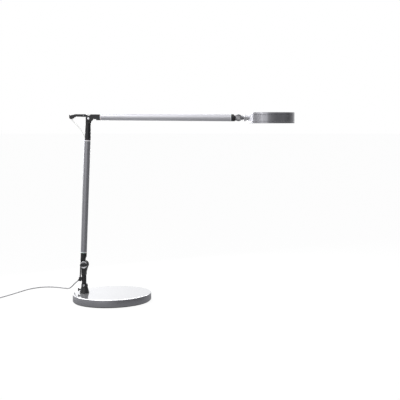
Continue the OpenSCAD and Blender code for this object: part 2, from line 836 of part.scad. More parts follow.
module tilt_discs() color("peru") {
    at_tilt() for (s = [0, 180]) rotate([0, 0, s])
        ring_y(tilt_tongue_r - 0.3, axle_r + running, tongue_y + 0.1, tongue_y + 0.1 + disc_t);
}

module neck_clip() color("silver") {
    at_tilt() difference() {
        bar_x(axle_r + 1.8, neck_len + 7, neck_len + 8.4);
        bar_x(axle_r + running / 2, 0, neck_len + 12);
    }
}

module neck() color("silver") {
    at_tilt() difference() {
        union() {
            rotate([0, 90, 0]) rotate_extrude() union() {
                translate([0, flange_x]) square([flange_r - 0.8, flange_t]);
                translate([0, flange_x + 0.8]) square([flange_r, flange_t - 1.6]);
                for (x = [flange_x + 0.8, flange_x + flange_t - 0.8])
                    translate([flange_r - 0.8, x]) circle(r = 0.8);
            }
            bar_x(flange_r - 2.2, flange_x + flange_t - e, neck_len + 1.2);
            bar_x(axle_r + 2, neck_len, neck_len + 6.7);
        }
        bar_x(axle_r + running, 0, neck_len + 20);
    }
}

// Half of a ring's outline: a wall at the head's edge with softened corners
module wall_outline(z0, z1) {
    r = 0.5;
    translate([head_r - head_wall, z0 + r]) square([head_wall, z1 - z0 - 2 * r]);
    translate([head_r - head_wall, z0]) square([head_wall - r, z1 - z0]);
    for (z = [z0 + r, z1 - r]) translate([head_r - r, z]) circle(r = r);
}

module pillar_places() {
    for (a = [0 : 120 : 240]) rotate([0, 0, a]) translate([pillar_pcd / 2, 0, 0]) children();
}

module head_cover() color("silver") {
    at_head() difference() {
        union() {
            rotate_extrude() {
                wall_outline(body_top + seam / 2, head_half);
                translate([0, head_half - 2]) square([head_r - head_wall + e, 2]);
            }
            ring(head_r - head_wall - 0.2, head_r - head_wall - 1.8, body_top - 3, head_half - 1);
            pillar_places() translate([0, 0, sink_z + sink_t]) cylinder(r = pillar_r, h = head_half - 1);
        }
        pillar_places() translate([0, 0, sink_z]) cylinder(r = 1.5 + running, h = 10);
        translate([button_x, 0, 0]) cylinder(r = button_r + gap, h = 40);
        translate([-head_x, 0, 0]) bar_x(axle_r + 2.4, 0, neck_len + 12);
    }
}

module head_body() color("silver") {
    at_head() difference() {
        rotate_extrude() wall_outline(body_low + seam / 2, body_top - seam / 2);
        translate([-head_x, 0, 0]) bar_x(axle_r + 2 + running, 0, neck_len + 12);
        translate([-head_x, 0, 0]) bar_x(flange_r - 2.2 + running, 0, neck_len + 1.2 + running);
    }
}

module head_bezel() color("silver") {
    at_head() {
        rotate_extrude() {
            wall_outline(-head_half, body_low - seam / 2);
            translate([head_r - head_wall - 4, -head_half]) square([4 + e, lip]);
        }
        ring(head_r - head_wall - 0.2, head_r - head_wall - 1.2, lens_z + lens_t + 0.1, body_low + 2);
        ring(head_r - head_wall + e, head_r - head_wall - 1.2, lens_z + lens_t + 0.1, body_low - seam / 2);
    }
}

module heat_sink() color("dimgray") {
    at_head() difference() {
        union() {
            translate([0, 0, sink_z]) cylinder(r = board_r, h = sink_t);
            translate([0, 0, sink_z]) cylinder(r = 9, h = sink_t + fin_h);
            for (k = [1 : fin_count - 1]) rotate([0, 0, 180 + k * 360 / fin_count])
                translate([8, -0.9, sink_z + sink_t - e]) cube([board_r - 12, 1.8, fin_h]);
        }
        pillar_places() {
            translate([0, 0, sink_z + sink_t]) cylinder(r = pillar_r + gap, h = 20);
            translate([0, 0, sink_z - 1]) cylinder(r = 1.5 + gap, h = 20);
        }
        translate([button_x - 10, -10, sink_z + sink_t]) cube([22, 20, 20]);
    }
}

module led_board() color("white") {
    at_head() difference() {
        translate([0, 0, sink_z - board_t]) cylinder(r = board_r - 1, h = board_t);
        pillar_places() translate([0, 0, sink_z - 5]) cylinder(r = 3.4, h = 20);
    }
}

module leds() color("khaki") {
    at_head() for (row = [[8, 18], [14, 46]], k = [0 : row[0] - 1])
        rotate([0, 0, (k + 0.5) * 360 / row[0]])
            translate([row[1] - 1.5, -1.5, sink_z - board_t - 1]) cube([3, 3, 1]);
}

module diffuser() color("white") {
    at_head() translate([0, 0, lens_z]) cylinder(r = lens_r, h = lens_t);
}

module head_screws() color("silver") {
    at_head() pillar_places() {
        translate([0, 0, sink_z - e]) cylinder(r = 1.5, h = 9);
        difference() {
            translate([0, 0, sink_z - 2]) cylinder(r = 2.8, h = 2);
            translate([0, 0, sink_z - 2.5]) cylinder(r = 1.3, h = 1.5, $fn = 6);
        }
    }
}

module dimmer_switch() color("dimgray") {
    at_head() translate([button_x, 0, 0]) {
        translate([-7, -7, sink_z + sink_t]) cube([14, 14, switch_h]);
        translate([0, 0, switch_top - switch_pin_h - e]) cylinder(r = 2, h = switch_pin_h + e);
    }
}

module dimmer_button() color("silver") {
    top = head_half - 0.15;
    at_head() translate([button_x, 0, 0]) difference() {
        union() {
            translate([0, 0, head_half - 4.2]) cylinder(r = button_r, h = top - head_half + 4.2);
            translate([0, 0, head_half - 4.2]) cylinder(r = button_r + 1.2, h = 4.2 - 2 - gap);
            translate([0, 0, switch_top + button_travel + gap])
                cylinder(r = 2, h = top - 1 - switch_top - button_travel - gap);
        }
        translate([0, 0, top + 30 - 0.5]) sphere(r = 30);
    }
}

// ---- Cord and adapter ----

module cord_run() color("gray") {
    start = CORD_EXIT + 0.3 * unit(CORD_DIR);
    points = smooth(CORD_ROUTE, 2);
    swept(concat([start], [for (i = [1 : len(points) - 1]) points[i]]), cord_r);
}

module cord_coil() color("gray") {
    translate([coil_x, coil_y, 0])
        rotate_extrude() round_rect(coil_in_r, 0, coil_out_r, coil_h, 3 * cord_r / 2);
}

module cord_tail() color("gray") {
    swept(smooth(TAIL_ROUTE, 2), cord_r);
}

module adapter_boot() color("black") {
    translate([adapter_x, adapter_y, adapter_cord_z]) rotate([-90, 0, 0]) difference() {
        cylinder(r1 = 4, r2 = cord_r + 0.6, h = boot_len);
        translate([0, 0, 1]) cylinder(r = cord_r + 0.2, h = boot_len);
    }
}

module adapter_body() color("black") {
    x0 = adapter_x - adapter_w / 2;
    difference() {
        translate([0, adapter_y, 0]) rotate([90, 0, 0]) linear_extrude(adapter_len)
            round_rect(x0, 0, x0 + adapter_w, adapter_h, 5);
        for (x = [-9.5, 9.5]) translate([adapter_x + x, adapter_y - adapter_len - 1, adapter_h / 2])
            bar_y(2 + running, 0, 9);
    }
}

module adapter_pins() color("silver") {
    for (x = [-9.5, 9.5]) translate([adapter_x + x, adapter_y - adapter_len, adapter_h / 2])
        bar_y(2, -19, 7);
}

base_disc();
base_ballast();
base_pad();
ballast_screws();
foot();
foot_nut();
foot_bush();
thumb_screw();
post();
post_collar();
collar_pin();
spigot_clip();
cord_clip();
clip_boot();
lower_axle();
lower_rings();
lower_nut();
lower_knob();
lower_jumper();
lower_cap();
lower_discs();
lower_tube();
lower_tube_rings();
lower_lead();
elbow_tongue();
elbow_jumper();
elbow_fork();
tail_lever();
tail_pin();
elbow_axle();
elbow_discs();
upper_lead();
upper_tube();
upper_tube_rings();
upper_cap();
yoke();
tilt_axle();
tilt_discs();
neck_clip();
neck();
head_cover();
head_body();
head_bezel();
heat_sink();
led_board();
leds();
diffuser();
head_screws();
dimmer_switch();
dimmer_button();
cord_run();
cord_coil();
cord_tail();
adapter_boot();
adapter_body();
adapter_pins();
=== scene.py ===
"""Looks of the swing arm desk lamp, built round its fixed CAD frame."""

import json
import math

import bmesh
import bpy
from mathutils import Matrix, Vector


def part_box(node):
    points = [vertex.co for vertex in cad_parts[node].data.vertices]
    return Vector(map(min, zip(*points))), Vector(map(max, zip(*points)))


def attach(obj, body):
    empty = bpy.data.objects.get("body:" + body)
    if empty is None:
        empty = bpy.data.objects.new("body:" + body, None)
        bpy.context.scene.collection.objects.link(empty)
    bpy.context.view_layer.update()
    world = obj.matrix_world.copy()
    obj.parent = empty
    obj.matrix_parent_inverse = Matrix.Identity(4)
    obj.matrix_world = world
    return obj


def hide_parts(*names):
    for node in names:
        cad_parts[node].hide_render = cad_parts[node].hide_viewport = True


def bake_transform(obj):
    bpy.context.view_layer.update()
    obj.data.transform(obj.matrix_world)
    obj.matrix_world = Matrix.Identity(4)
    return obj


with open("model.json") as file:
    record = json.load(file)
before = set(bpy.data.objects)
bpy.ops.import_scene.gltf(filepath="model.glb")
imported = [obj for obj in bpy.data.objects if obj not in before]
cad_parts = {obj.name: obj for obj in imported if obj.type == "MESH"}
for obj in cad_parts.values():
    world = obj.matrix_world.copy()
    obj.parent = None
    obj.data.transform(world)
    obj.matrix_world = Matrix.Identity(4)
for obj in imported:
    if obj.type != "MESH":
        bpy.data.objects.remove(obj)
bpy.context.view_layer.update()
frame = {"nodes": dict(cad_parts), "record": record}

bl_info = {
    "name": "Desk lamp looks",
    "version": (1, 0, 0),
    "blender": (4, 5, 0),
    "location": "View3D > Sidebar > Lamp",
    "description": "Builds the finishes, cords and small pieces of a swing arm desk lamp",
    "category": "Object",
}

MM = 0.001
UP = Vector((0, 0, 1))
BEHAVIOUR = frame["record"]["behaviour"]
JOINT = {made["name"]: Vector(made["pos_m"]) for made in BEHAVIOUR["joints"] if "pos_m" in made}
BODY_OF = {node: name for name, nodes in BEHAVIOUR["bodies"].items() for node in nodes}
SLOT_OF = {part["node"]: part["material_slot"] for part in frame["record"]["subparts"]}
HINGE = JOINT["lower_arm_lean"]
ELBOW = JOINT["elbow_bend"]
TILT = JOINT["head_tilt"]
FOOT = JOINT["post_swivel"]
LEAN = math.atan2(ELBOW.x - HINGE.x, ELBOW.z - HINGE.z)


# ---- Settings a user would change ----


def colour(name, description, default):
    """A setting that holds one sRGB hex value."""
    return bpy.props.StringProperty(name=name, description=description, default=default)


def count(name, description, default, low, high):
    """A setting that holds a whole number from low to high."""
    return bpy.props.IntProperty(
        name=name, description=description, default=default, min=low, max=high
    )


def length(name, description, default):
    """A setting that holds one length."""
    return bpy.props.FloatProperty(
        name=name, description=description, default=default, unit="LENGTH", subtype="DISTANCE"
    )


class LampFinish(bpy.types.PropertyGroup):
    """Colours of the lamp's finishes, as sRGB hex values, and the softness of its edges."""

    base_top: colour("Base top", "Polished top of the base", "#E6E7EA")
    base_wall: colour("Base wall", "Satin side of the base", "#A0A0A5")
    # The two tubes have one finish: the upper tube's lighter colour is painted light and the lower
    # tube's darker colour is painted shade.
    upper: colour("Upper tube", "Anodised tube of the upper arm", "#C8C8CD")
    lower: colour("Lower tube", "Anodised tube of the lower arm", "#98989D")
    head: colour("Head", "Turned rings of the head", "#A0A0A5")
    nickel: colour("Nickel", "Plated rings, yoke and neck", "#DCDCDF")
    paint: colour("Paint", "Black paint of the castings", "#18181B")
    cord: colour("Cord", "Jacket of the cord", "#A4A4A7")
    edge: length("Edge", "Width of the rounding on the castings' edges", 0.4 * MM)


class LampCord(bpy.types.PropertyGroup):
    """Sizes of the free cord and of its coil."""

    diameter: length("Diameter", "Outer diameter of the jacket", 3.5 * MM)
    length: length("Length", "Whole length, with the coil", 1.8)
    lead: length("Lead", "Outer diameter of the clear lead in the arms", 3.0 * MM)
    pitch: length("Pitch", "Distance between neighbouring turns of the coil", 3.55 * MM)
    sides: count("Sides", "Sides of the tube's section", 12, 6, 32)


class LampHead(bpy.types.PropertyGroup):
    """Sizes and counts of the head's pieces."""

    wall: length("Wall", "Wall of the head's rings", 2.2 * MM)
    edge: length("Edge", "Rounding of the head's rims", 0.7 * MM)
    groove: length("Groove", "Chamfer beside each joint line", 0.5 * MM)
    fins: count("Fins", "Places for fins on the heat sink", 12, 4, 24)
    inner_leds: count("Inner LEDs", "LEDs on the inner circle", 8, 1, 40)
    outer_leds: count("Outer LEDs", "LEDs on the outer circle", 14, 1, 60)


class LampStudio(bpy.types.PropertyGroup):
    """Light of the studio."""

    key_power: bpy.props.FloatProperty(
        name="Key light", description="Power of the large light", default=5.0, unit="POWER"
    )
    sky: bpy.props.FloatProperty(
        name="Surroundings", description="Brightness of the room", default=1.0,
        subtype="FACTOR",
    )


# ---- Small helpers ----


def linear(code):
    """An sRGB hex value as a linear RGBA colour."""
    parts = [int(code[k : k + 2], 16) / 255 for k in (1, 3, 5)]
    return [c / 12.92 if c <= 0.04045 else ((c + 0.055) / 1.055) ** 2.4 for c in parts] + [1.0]


def add(tree, kind, links=(), **settings):
    """Adds one node to a tree: settings name its properties or, as in_0 or in_Scale, its inputs."""
    made = tree.nodes.new(kind)
    inputs = {}
    for key, value in settings.items():
        if key.startswith("in_"):
            inputs[key[3:].replace("_", " ")] = value
        else:
            setattr(made, key, value)
    for key, value in inputs.items():
        made.inputs[int(key) if key.isdigit() else key].default_value = value
    for source, target in links:
        tree.links.new(source, made.inputs[target])
    return made


def vector(tree, **sockets):
    """A vector from the sockets given for its X, Y and Z."""
    return add(tree, "ShaderNodeCombineXYZ", [(v, k) for k, v in sockets.items()]).outputs[0]


def noise(tree, point, scale, detail):
    """A noise texture's value at a point."""
    made = add(tree, "ShaderNodeTexNoise", [(point, 0)], in_Scale=scale, in_Detail=detail)
    return made.outputs[0]


def remap(tree, value, *ends, **settings):
    """A Map Range node's result: ends are its From Min, From Max, To Min and To Max."""
    made = add(tree, "ShaderNodeMapRange", [(value, "Value")], **settings)
    for socket, end in zip(made.inputs[1:], ends):
        socket.default_value = end
    return made.outputs[0]


def cover(tree, factor, under, plain):
    """A colour that a factor covers with a plain one."""
    made = add(tree, "ShaderNodeMix", [(factor, 0), (under, 6)], data_type="RGBA", in_7=plain)
    return made.outputs[2]


def calculate(tree, operation, first, second=0.0):
    """A Math node on sockets or plain numbers."""
    made = add(tree, "ShaderNodeMath", operation=operation)
    for socket, value in zip(made.inputs, (first, second)):
        if isinstance(value, (int, float)):
            socket.default_value = value
        else:
            tree.links.new(value, socket)
    return made.outputs[0]


def new_material(name, **inputs):
    """An empty node material with its output and one Principled shader."""
    made = bpy.data.materials.new(name)
    made.use_nodes = True
    tree = made.node_tree
    tree.nodes.clear()
    shader = add(tree, "ShaderNodeBsdfPrincipled", **inputs)
    add(tree, "ShaderNodeOutputMaterial", [(shader.outputs[0], "Surface")])
    return made, tree, shader


def object_point(tree, scale=(1, 1, 1), turn=(0, 0, 0), offset=(0, 0, 0)):
    """Object coordinates through a Mapping node."""
    place = add(tree, "ShaderNodeTexCoord")
    return add(
        tree, "ShaderNodeMapping", [(place.outputs["Object"], "Vector")],
        in_Scale=scale, in_Rotation=turn, in_Location=offset,
    ).outputs[0]


def bump(tree, shader, height, depth):
    """Feeds a height to the shader's normal; depth is in metres."""
    made = add(tree, "ShaderNodeBump", [(height, "Height")], in_Strength=1.0, in_Distance=depth)
    tree.links.new(made.outputs[0], shader.inputs["Normal"])


def dress(tree, shader, factor, code, change, low, high):
    """A factor moves a colour a share darker or lighter, and the roughness from low to high."""
    base = linear(code)[:3]
    dark, light = ([min(1.0, c * share) for c in base] + [1.0] for share in (1 - change, 1 + change))
    mixed = add(tree, "ShaderNodeMix", [(factor, 0)], data_type="RGBA", in_6=dark, in_7=light)
    tree.links.new(mixed.outputs[2], shader.inputs["Base Color"])
    tree.links.new(remap(tree, factor, 0.0, 1.0, low, high), shader.inputs["Roughness"])


def new_object(name, mesh):
    """Links a mesh to the scene as an object at the origin."""
    made = bpy.data.objects.new(name, mesh)
    bpy.context.scene.collection.objects.link(made)
    return made


def shade(mesh, angle=40):
    """Shades a mesh smooth, except at edges sharper than an angle in degrees."""
    mesh.shade_smooth()
    mesh.set_sharp_from_angle(angle=math.radians(angle))


def from_bmesh(name, bm, smooth=True):
    """Turns a bmesh into an object, smooth except at sharp edges."""
    mesh = bpy.data.meshes.new(name)
    bm.to_mesh(mesh)
    bm.free()
    if smooth:
        shade(mesh)
    return new_object(name, mesh)


def freeze(made):
    """Replaces an object's mesh by its evaluated one and removes its modifiers."""
    bpy.context.view_layer.update()
    depsgraph = bpy.context.evaluated_depsgraph_get()
    mesh = bpy.data.meshes.new_from_object(made.evaluated_get(depsgraph), depsgraph=depsgraph)
    mesh.name = made.name
    made.modifiers.clear()
    made.data = mesh
    return made


def finish_piece(made, body, slot, nodes=(), material=None):
    """Gives a piece its finish, its body and the CAD nodes that it stands for."""
    made.data.materials.clear()
    made.data.materials.append(material or finish(slot))
    if body:
        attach(made, body)
    if nodes:
        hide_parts(*nodes)
    return made


def lathe(name, outline, centre=(0, 0, 0), axis=UP, steps=128):
    """Turns a closed outline of (radius, height) points about an axis through a centre."""
    bm = bmesh.new()
    facing = UP.rotation_difference(Vector(axis)).to_matrix().to_4x4()
    turn = Matrix.Translation(Vector(centre)) @ facing
    columns = []
    for k in range(steps):
        angle = 2 * math.pi * k / steps
        columns.append([
            bm.verts.new(turn @ Vector((r * math.cos(angle), r * math.sin(angle), h)))
            for r, h in outline
        ])
    for k in range(steps):
        near, far = columns[k], columns[(k + 1) % steps]
        for i in range(len(outline)):
            j = (i + 1) % len(outline)
            if outline[i][0] > 0 or outline[j][0] > 0:
                bm.faces.new((near[i], far[i], far[j], near[j]))
    bmesh.ops.remove_doubles(bm, verts=bm.verts, dist=1e-7)
    bmesh.ops.recalc_face_normals(bm, faces=bm.faces)
    return from_bmesh(name, bm)


def corner(r, h, radius, start, steps=5):
    """Points of a quarter circle about (r, h), from an angle in degrees through 90 more."""
    return [
        (r + radius * math.cos(math.radians(start + 90 * k / steps)),
         h + radius * math.sin(math.radians(start + 90 * k / steps)))
        for k in range(steps + 1)
    ]


def drill(made, *bores):
    """Cuts round bores, each (start, end, radius), out of a piece."""
    for start, end, radius in bores:
        along = Vector(end) - Vector(start)
        outline = [(0, 0), (radius, 0), (radius, along.length), (0, along.length)]
        cutter = lathe("cutter", outline, start, along.normalized(), 64)
        cut = made.modifiers.new("bore", "BOOLEAN")
        cut.operation = "DIFFERENCE"
        cut.solver = "EXACT"
        cut.object = cutter
        freeze(made)
        bpy.data.objects.remove(cutter)
    shade(made.data)
    return made


def soft_copy(node, width=None):
    """A copy of a CAD node with rounded edges, which stands for it."""
    bm = bmesh.new()
    bm.from_mesh(frame["nodes"][node].data)
    bmesh.ops.remove_doubles(bm, verts=bm.verts, dist=0.002 * MM)
    bmesh.ops.dissolve_limit(
        bm, angle_limit=math.radians(0.5), verts=bm.verts, edges=bm.edges,
        use_dissolve_boundaries=False,
    )
    made = from_bmesh(node + "_soft", bm, smooth=False)
    bevel = made.modifiers.new("edges", "BEVEL")
    bevel.width = width or bpy.context.scene.lamp_finish.edge
    bevel.segments = 2
    bevel.limit_method = "ANGLE"
    bevel.angle_limit = math.radians(32)
    bevel.use_clamp_overlap = False
    bevel.loop_slide = True
    freeze(made)
    shade(made.data, 50)
    weigh = made.modifiers.new("normals", "WEIGHTED_NORMAL")
    weigh.keep_sharp = True
    return freeze(made)


def soften(*nodes, width=None, material=None):
    """Makes the soft copies of several nodes, each with its own slot's finish."""
    for node in nodes:
        finish_piece(soft_copy(node, width), BODY_OF[node], SLOT_OF[node], (node,), material)


def smooth_points(points, steps):
    """Points on a smooth curve through the given points."""
    p = [Vector(q) for q in points]
    found = []
    for i in range(len(p) - 1):
        a, b, c, d = p[max(i - 1, 0)], p[i], p[i + 1], p[min(i + 2, len(p) - 1)]
        for k in range(steps):
            t = k / steps
            found.append(
                0.5 * (2 * b + (c - a) * t + (2 * a - 5 * b + 4 * c - d) * t * t
                       + (3 * b - a - 3 * c + d) * t ** 3)
            )
    return found + [p[-1]]


def tube(name, points, radius, sides):
    """A closed round tube along points, with UVs that run along and round it."""
    bm = bmesh.new()
    uv = bm.loops.layers.uv.new("UVMap")
    side = None
    rings, along = [], [0.0]
    for i, point in enumerate(points):
        ahead = (points[min(i + 1, len(points) - 1)] - points[max(i - 1, 0)]).normalized()
        if side is None:
            side = ahead.cross(UP if abs(ahead.z) < 0.9 else Vector((1, 0, 0)))
        side = (side - ahead * side.dot(ahead)).normalized()
        up = ahead.cross(side)
        rings.append([
            bm.verts.new(point + radius * (math.cos(t) * side + math.sin(t) * up))
            for t in (2 * math.pi * k / sides for k in range(sides))
        ])
        if i:
            along.append(along[-1] + (point - points[i - 1]).length)
    for i in range(len(rings) - 1):
        for k in range(sides):
            m = (k + 1) % sides
            face = bm.faces.new((rings[i][k], rings[i][m], rings[i + 1][m], rings[i + 1][k]))
            corners = ((k, along[i]), (k + 1, along[i]), (k + 1, along[i + 1]), (k, along[i + 1]))
            for loop, (u, v) in zip(face.loops, corners):
                loop[uv].uv = (u / sides, v)
    bm.faces.new(list(reversed(rings[0])))
    bm.faces.new(rings[-1])
    bmesh.ops.recalc_face_normals(bm, faces=bm.faces)
    return from_bmesh(name, bm)


# ---- Geometry Nodes ----


def new_tree(name, sockets):
    """A geometry tree with named inputs; each socket is (name, kind, default)."""
    tree = bpy.data.node_groups.new(name, "GeometryNodeTree")
    tree.interface.new_socket("Geometry", in_out="INPUT", socket_type="NodeSocketGeometry")
    for label, kind, default in sockets:
        made = tree.interface.new_socket(label, in_out="INPUT", socket_type="NodeSocket" + kind)
        if default is not None:
            made.default_value = default
    tree.interface.new_socket("Geometry", in_out="OUTPUT", socket_type="NodeSocketGeometry")
    return tree, add(tree, "NodeGroupInput").outputs


def end_tree(tree, geometry, given, join=True):
    """Joins what comes in, and closes a tree with Realize Instances and Set Material."""
    if join:
        joined = add(tree, "GeometryNodeJoinGeometry", [(geometry, 0), (given["Geometry"], 0)])
        geometry = joined.outputs[0]
    real = add(tree, "GeometryNodeRealizeInstances", [(geometry, "Geometry")])
    painted = add(
        tree, "GeometryNodeSetMaterial",
        [(real.outputs[0], "Geometry"), (given["Material"], "Material")],
    )
    add(tree, "NodeGroupOutput", [(painted.outputs[0], "Geometry")])
    return tree


def spin(tree, angle):
    """A rotation about Z by an angle."""
    return add(tree, "FunctionNodeEulerToRotation", [(vector(tree, Z=angle), 0)]).outputs[0]


def run_tree(made, tree, **values):
    """Adds a tree to an object; values name its inputs, with _ for a space."""
    modifier = made.modifiers.new(tree.name, "NODES")
    modifier.node_group = tree
    for item in tree.interface.items_tree:
        key = item.name.replace(" ", "_")
        if item.in_out == "INPUT" and key in values:
            modifier[item.identifier] = values[key]


def circle_tree():
    """Blocks with a round stud below each, set round a circle and joined to what comes in."""
    tree, given = new_tree("blocks_on_a_circle", [
        ("Count", "Int", 8), ("Radius", "Float", 0.02), ("Start", "Float", 0.0),
        ("Block", "Vector", (0.003, 0.003, 0.001)), ("Stud", "Float", 0.001),
        ("Skip First", "Bool", False), ("Centre", "Vector", (0, 0, 0)),
        ("Material", "Material", None),
    ])
    circle = add(
        tree, "GeometryNodeMeshCircle", [(given["Count"], "Vertices"), (given["Radius"], "Radius")]
    )
    index = add(tree, "GeometryNodeInputIndex").outputs[0]
    turn = calculate(tree, "MULTIPLY", index, 2 * math.pi)
    turn = calculate(tree, "DIVIDE", turn, given["Count"])
    block = add(tree, "GeometryNodeMeshCube", [(given["Block"], "Size")])
    stud = add(tree, "GeometryNodeMeshCylinder", [(given["Stud"], "Radius")], in_Vertices=12)
    height = add(tree, "ShaderNodeSeparateXYZ", [(given["Block"], 0)]).outputs["Z"]
    tree.links.new(height, stud.inputs["Depth"])
    drop = vector(tree, Z=calculate(tree, "MULTIPLY", height, -0.2))
    lowered = add(
        tree, "GeometryNodeTransform", [(stud.outputs["Mesh"], "Geometry"), (drop, "Translation")]
    )
    shape = add(tree, "GeometryNodeJoinGeometry", [(block.outputs["Mesh"], 0)])
    tree.links.new(lowered.outputs[0], shape.inputs[0])
    first = add(
        tree, "FunctionNodeCompare", [(index, 2)], data_type="INT", operation="EQUAL", in_3=0
    )
    left_out = add(
        tree, "FunctionNodeBooleanMath", [(first.outputs[0], 0), (given["Skip First"], 1)],
        operation="NAND",
    )
    placed = add(
        tree, "GeometryNodeInstanceOnPoints",
        [(circle.outputs[0], "Points"), (left_out.outputs[0], "Selection"),
         (shape.outputs[0], "Instance"), (spin(tree, turn), "Rotation")],
    )
    moved = add(
        tree, "GeometryNodeTransform",
        [(placed.outputs[0], "Geometry"), (given["Centre"], "Translation"),
         (spin(tree, given["Start"]), "Rotation")],
    )
    return end_tree(tree, moved.outputs[0], given)


def path_tree():
    """A round lead that follows the edges of a mesh."""
    tree, given = new_tree("lead_on_a_path", [
        ("Radius", "Float", 0.0015), ("Sides", "Int", 12), ("Material", "Material", None),
    ])
    line = add(tree, "GeometryNodeMeshToCurve", [(given["Geometry"], "Mesh")])
    section = add(
        tree, "GeometryNodeCurvePrimitiveCircle",
        [(given["Sides"], "Resolution"), (given["Radius"], "Radius")],
    )
    swept = add(
        tree, "GeometryNodeCurveToMesh",
        [(line.outputs[0], "Curve"), (section.outputs[0], "Profile Curve")], in_Fill_Caps=True,
    )
    return end_tree(tree, swept.outputs[0], given, join=False)


def rib_tree():
    """Round ribs along a taper, such as those of a strain relief."""
    tree, given = new_tree("ribs_on_a_taper", [
        ("Count", "Int", 5), ("Length", "Float", 0.012), ("Start Radius", "Float", 0.004),
        ("End Radius", "Float", 0.002), ("Rib", "Float", 0.001), ("Place", "Vector", (0, 0, 0)),
        ("Material", "Material", None),
    ])
    line = add(
        tree, "GeometryNodeMeshLine",
        [(given["Count"], "Count"), (vector(tree, Z=given["Length"]), "Offset")],
        mode="END_POINTS",
    )
    index = add(tree, "GeometryNodeInputIndex").outputs[0]
    share = calculate(tree, "DIVIDE", index, calculate(tree, "SUBTRACT", given["Count"], 1.0))
    radius = add(
        tree, "ShaderNodeMapRange",
        [(share, "Value"), (given["Start Radius"], 3), (given["End Radius"], 4)],
    ).outputs[0]
    size = add(tree, "ShaderNodeCombineXYZ", [(radius, "X"), (radius, "Y")], in_Z=1.0)
    rib = add(
        tree, "GeometryNodeMeshCylinder", [(given["Rib"], "Depth")], in_Vertices=32, in_Radius=1.0
    )
    placed = add(
        tree, "GeometryNodeInstanceOnPoints",
        [(line.outputs[0], "Points"), (rib.outputs["Mesh"], "Instance"),
         (size.outputs[0], "Scale")],
    )
    moved = add(
        tree, "GeometryNodeTransform",
        [(placed.outputs[0], "Geometry"), (given["Place"], "Translation")],
        in_Rotation=(-math.pi / 2, 0, 0),
    )
    return end_tree(tree, moved.outputs[0], given)


# ---- Finishes ----


def polished_aluminium():
    """Aluminium turned and polished on top, a hazy mirror; its side is satin turned and darker."""
    look = bpy.context.scene.lamp_finish
    made, tree, shader = new_material("polished_aluminium", in_Metallic=0.84)
    point = object_point(tree)
    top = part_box("base_disc")[1].z
    height = add(tree, "ShaderNodeSeparateXYZ", [(point, 0)]).outputs["Z"]
    on_top = remap(tree, height, top - 0.9 * MM, top - 0.2 * MM)
    # Turning marks about 1.5 mm apart, coarser than the real ones, which are too fine to see
    radius = add(tree, "ShaderNodeVectorMath", [(point, 0)], operation="LENGTH").outputs["Value"]
    lines = noise(tree, vector(tree, X=radius, Y=height), 650.0, 2.0)
    cloud = noise(tree, point, 28.0, 3.0)
    haze = calculate(tree, "MULTIPLY", calculate(tree, "ADD", lines, cloud), 0.5)
    tone = add(
        tree, "ShaderNodeMix", [(on_top, 0)], data_type="RGBA",
        in_6=linear(look.base_wall), in_7=linear(look.base_top),
    ).outputs[2]
    toned = add(
        tree, "ShaderNodeMix", [(haze, 0), (tone, 6)], data_type="RGBA", blend_type="MULTIPLY",
        in_7=(0.9, 0.9, 0.91, 1.0),
    )
    tree.links.new(toned.outputs[2], shader.inputs["Base Color"])
    mirror = remap(tree, haze, 0.0, 1.0, 0.05, 0.13)
    satin = remap(tree, haze, 0.0, 1.0, 0.24, 0.4)
    rough = add(tree, "ShaderNodeMix", [(on_top, 0), (satin, 2), (mirror, 3)], data_type="FLOAT")
    tree.links.new(rough.outputs[0], shader.inputs["Roughness"])
    bump(tree, shader, lines, 0.004 * MM)
    return made


def anodised_tube(name, code, turn):
    """Drawn aluminium, satin anodised: fine lines run along the tube and soften its reflections."""
    # The colour that comes in holds painted light for the upper tube and painted shade for the lower
    # tube.
    made, tree, shader = new_material(name, in_Metallic=0.86)
    # Drawing lines about 0.7 mm apart, coarser than the real ones, and fifty times as long
    point = object_point(tree, scale=(1400, 1400, 28), turn=turn)
    lines = noise(tree, point, 1.0, 3.0)
    dress(tree, shader, lines, code, 0.05, 0.42, 0.54)
    bump(tree, shader, lines, 0.001 * MM)
    return made


def turned_aluminium():
    """Aluminium turned on a lathe and anodised grey: circles on top, level lines on the rim."""
    look = bpy.context.scene.lamp_finish
    made, tree, shader = new_material(
        "turned_aluminium", in_Metallic=1.0, in_Anisotropic=0.85, in_Anisotropic_Rotation=0.25
    )
    centre = head_centre()
    point = object_point(tree, offset=(-centre.x, -centre.y, 0))
    split = add(tree, "ShaderNodeSeparateXYZ", [(point, 0)])
    flat = vector(tree, X=split.outputs["X"], Y=split.outputs["Y"])
    radius = add(tree, "ShaderNodeVectorMath", [(flat, 0)], operation="LENGTH").outputs["Value"]
    # Turning marks about 0.9 mm apart, coarser than the real ones
    lines = noise(tree, vector(tree, X=radius, Y=split.outputs["Z"]), 1100.0, 2.0)
    dress(tree, shader, lines, look.head, 0.1, 0.26, 0.36)
    bump(tree, shader, lines, 0.005 * MM)
    return made


def grained(name, code, rough, grain, depth, change, inputs):
    """A material with a grain of a real size, as a row of GRAINED gives it."""
    if not code.startswith("#"):
        code = getattr(bpy.context.scene.lamp_finish, code)
    made, tree, shader = new_material(name, **inputs)
    speck = noise(tree, object_point(tree), 1 / (grain * MM), 3.0)
    # Handling leaves the surface a little uneven over about a finger's width
    patch = noise(tree, object_point(tree), 60.0, 1.0)
    mixed = calculate(tree, "MULTIPLY", calculate(tree, "ADD", speck, patch), 0.5)
    dress(tree, shader, mixed, code, change, *rough)
    bump(tree, shader, speck, depth * MM)
    return made


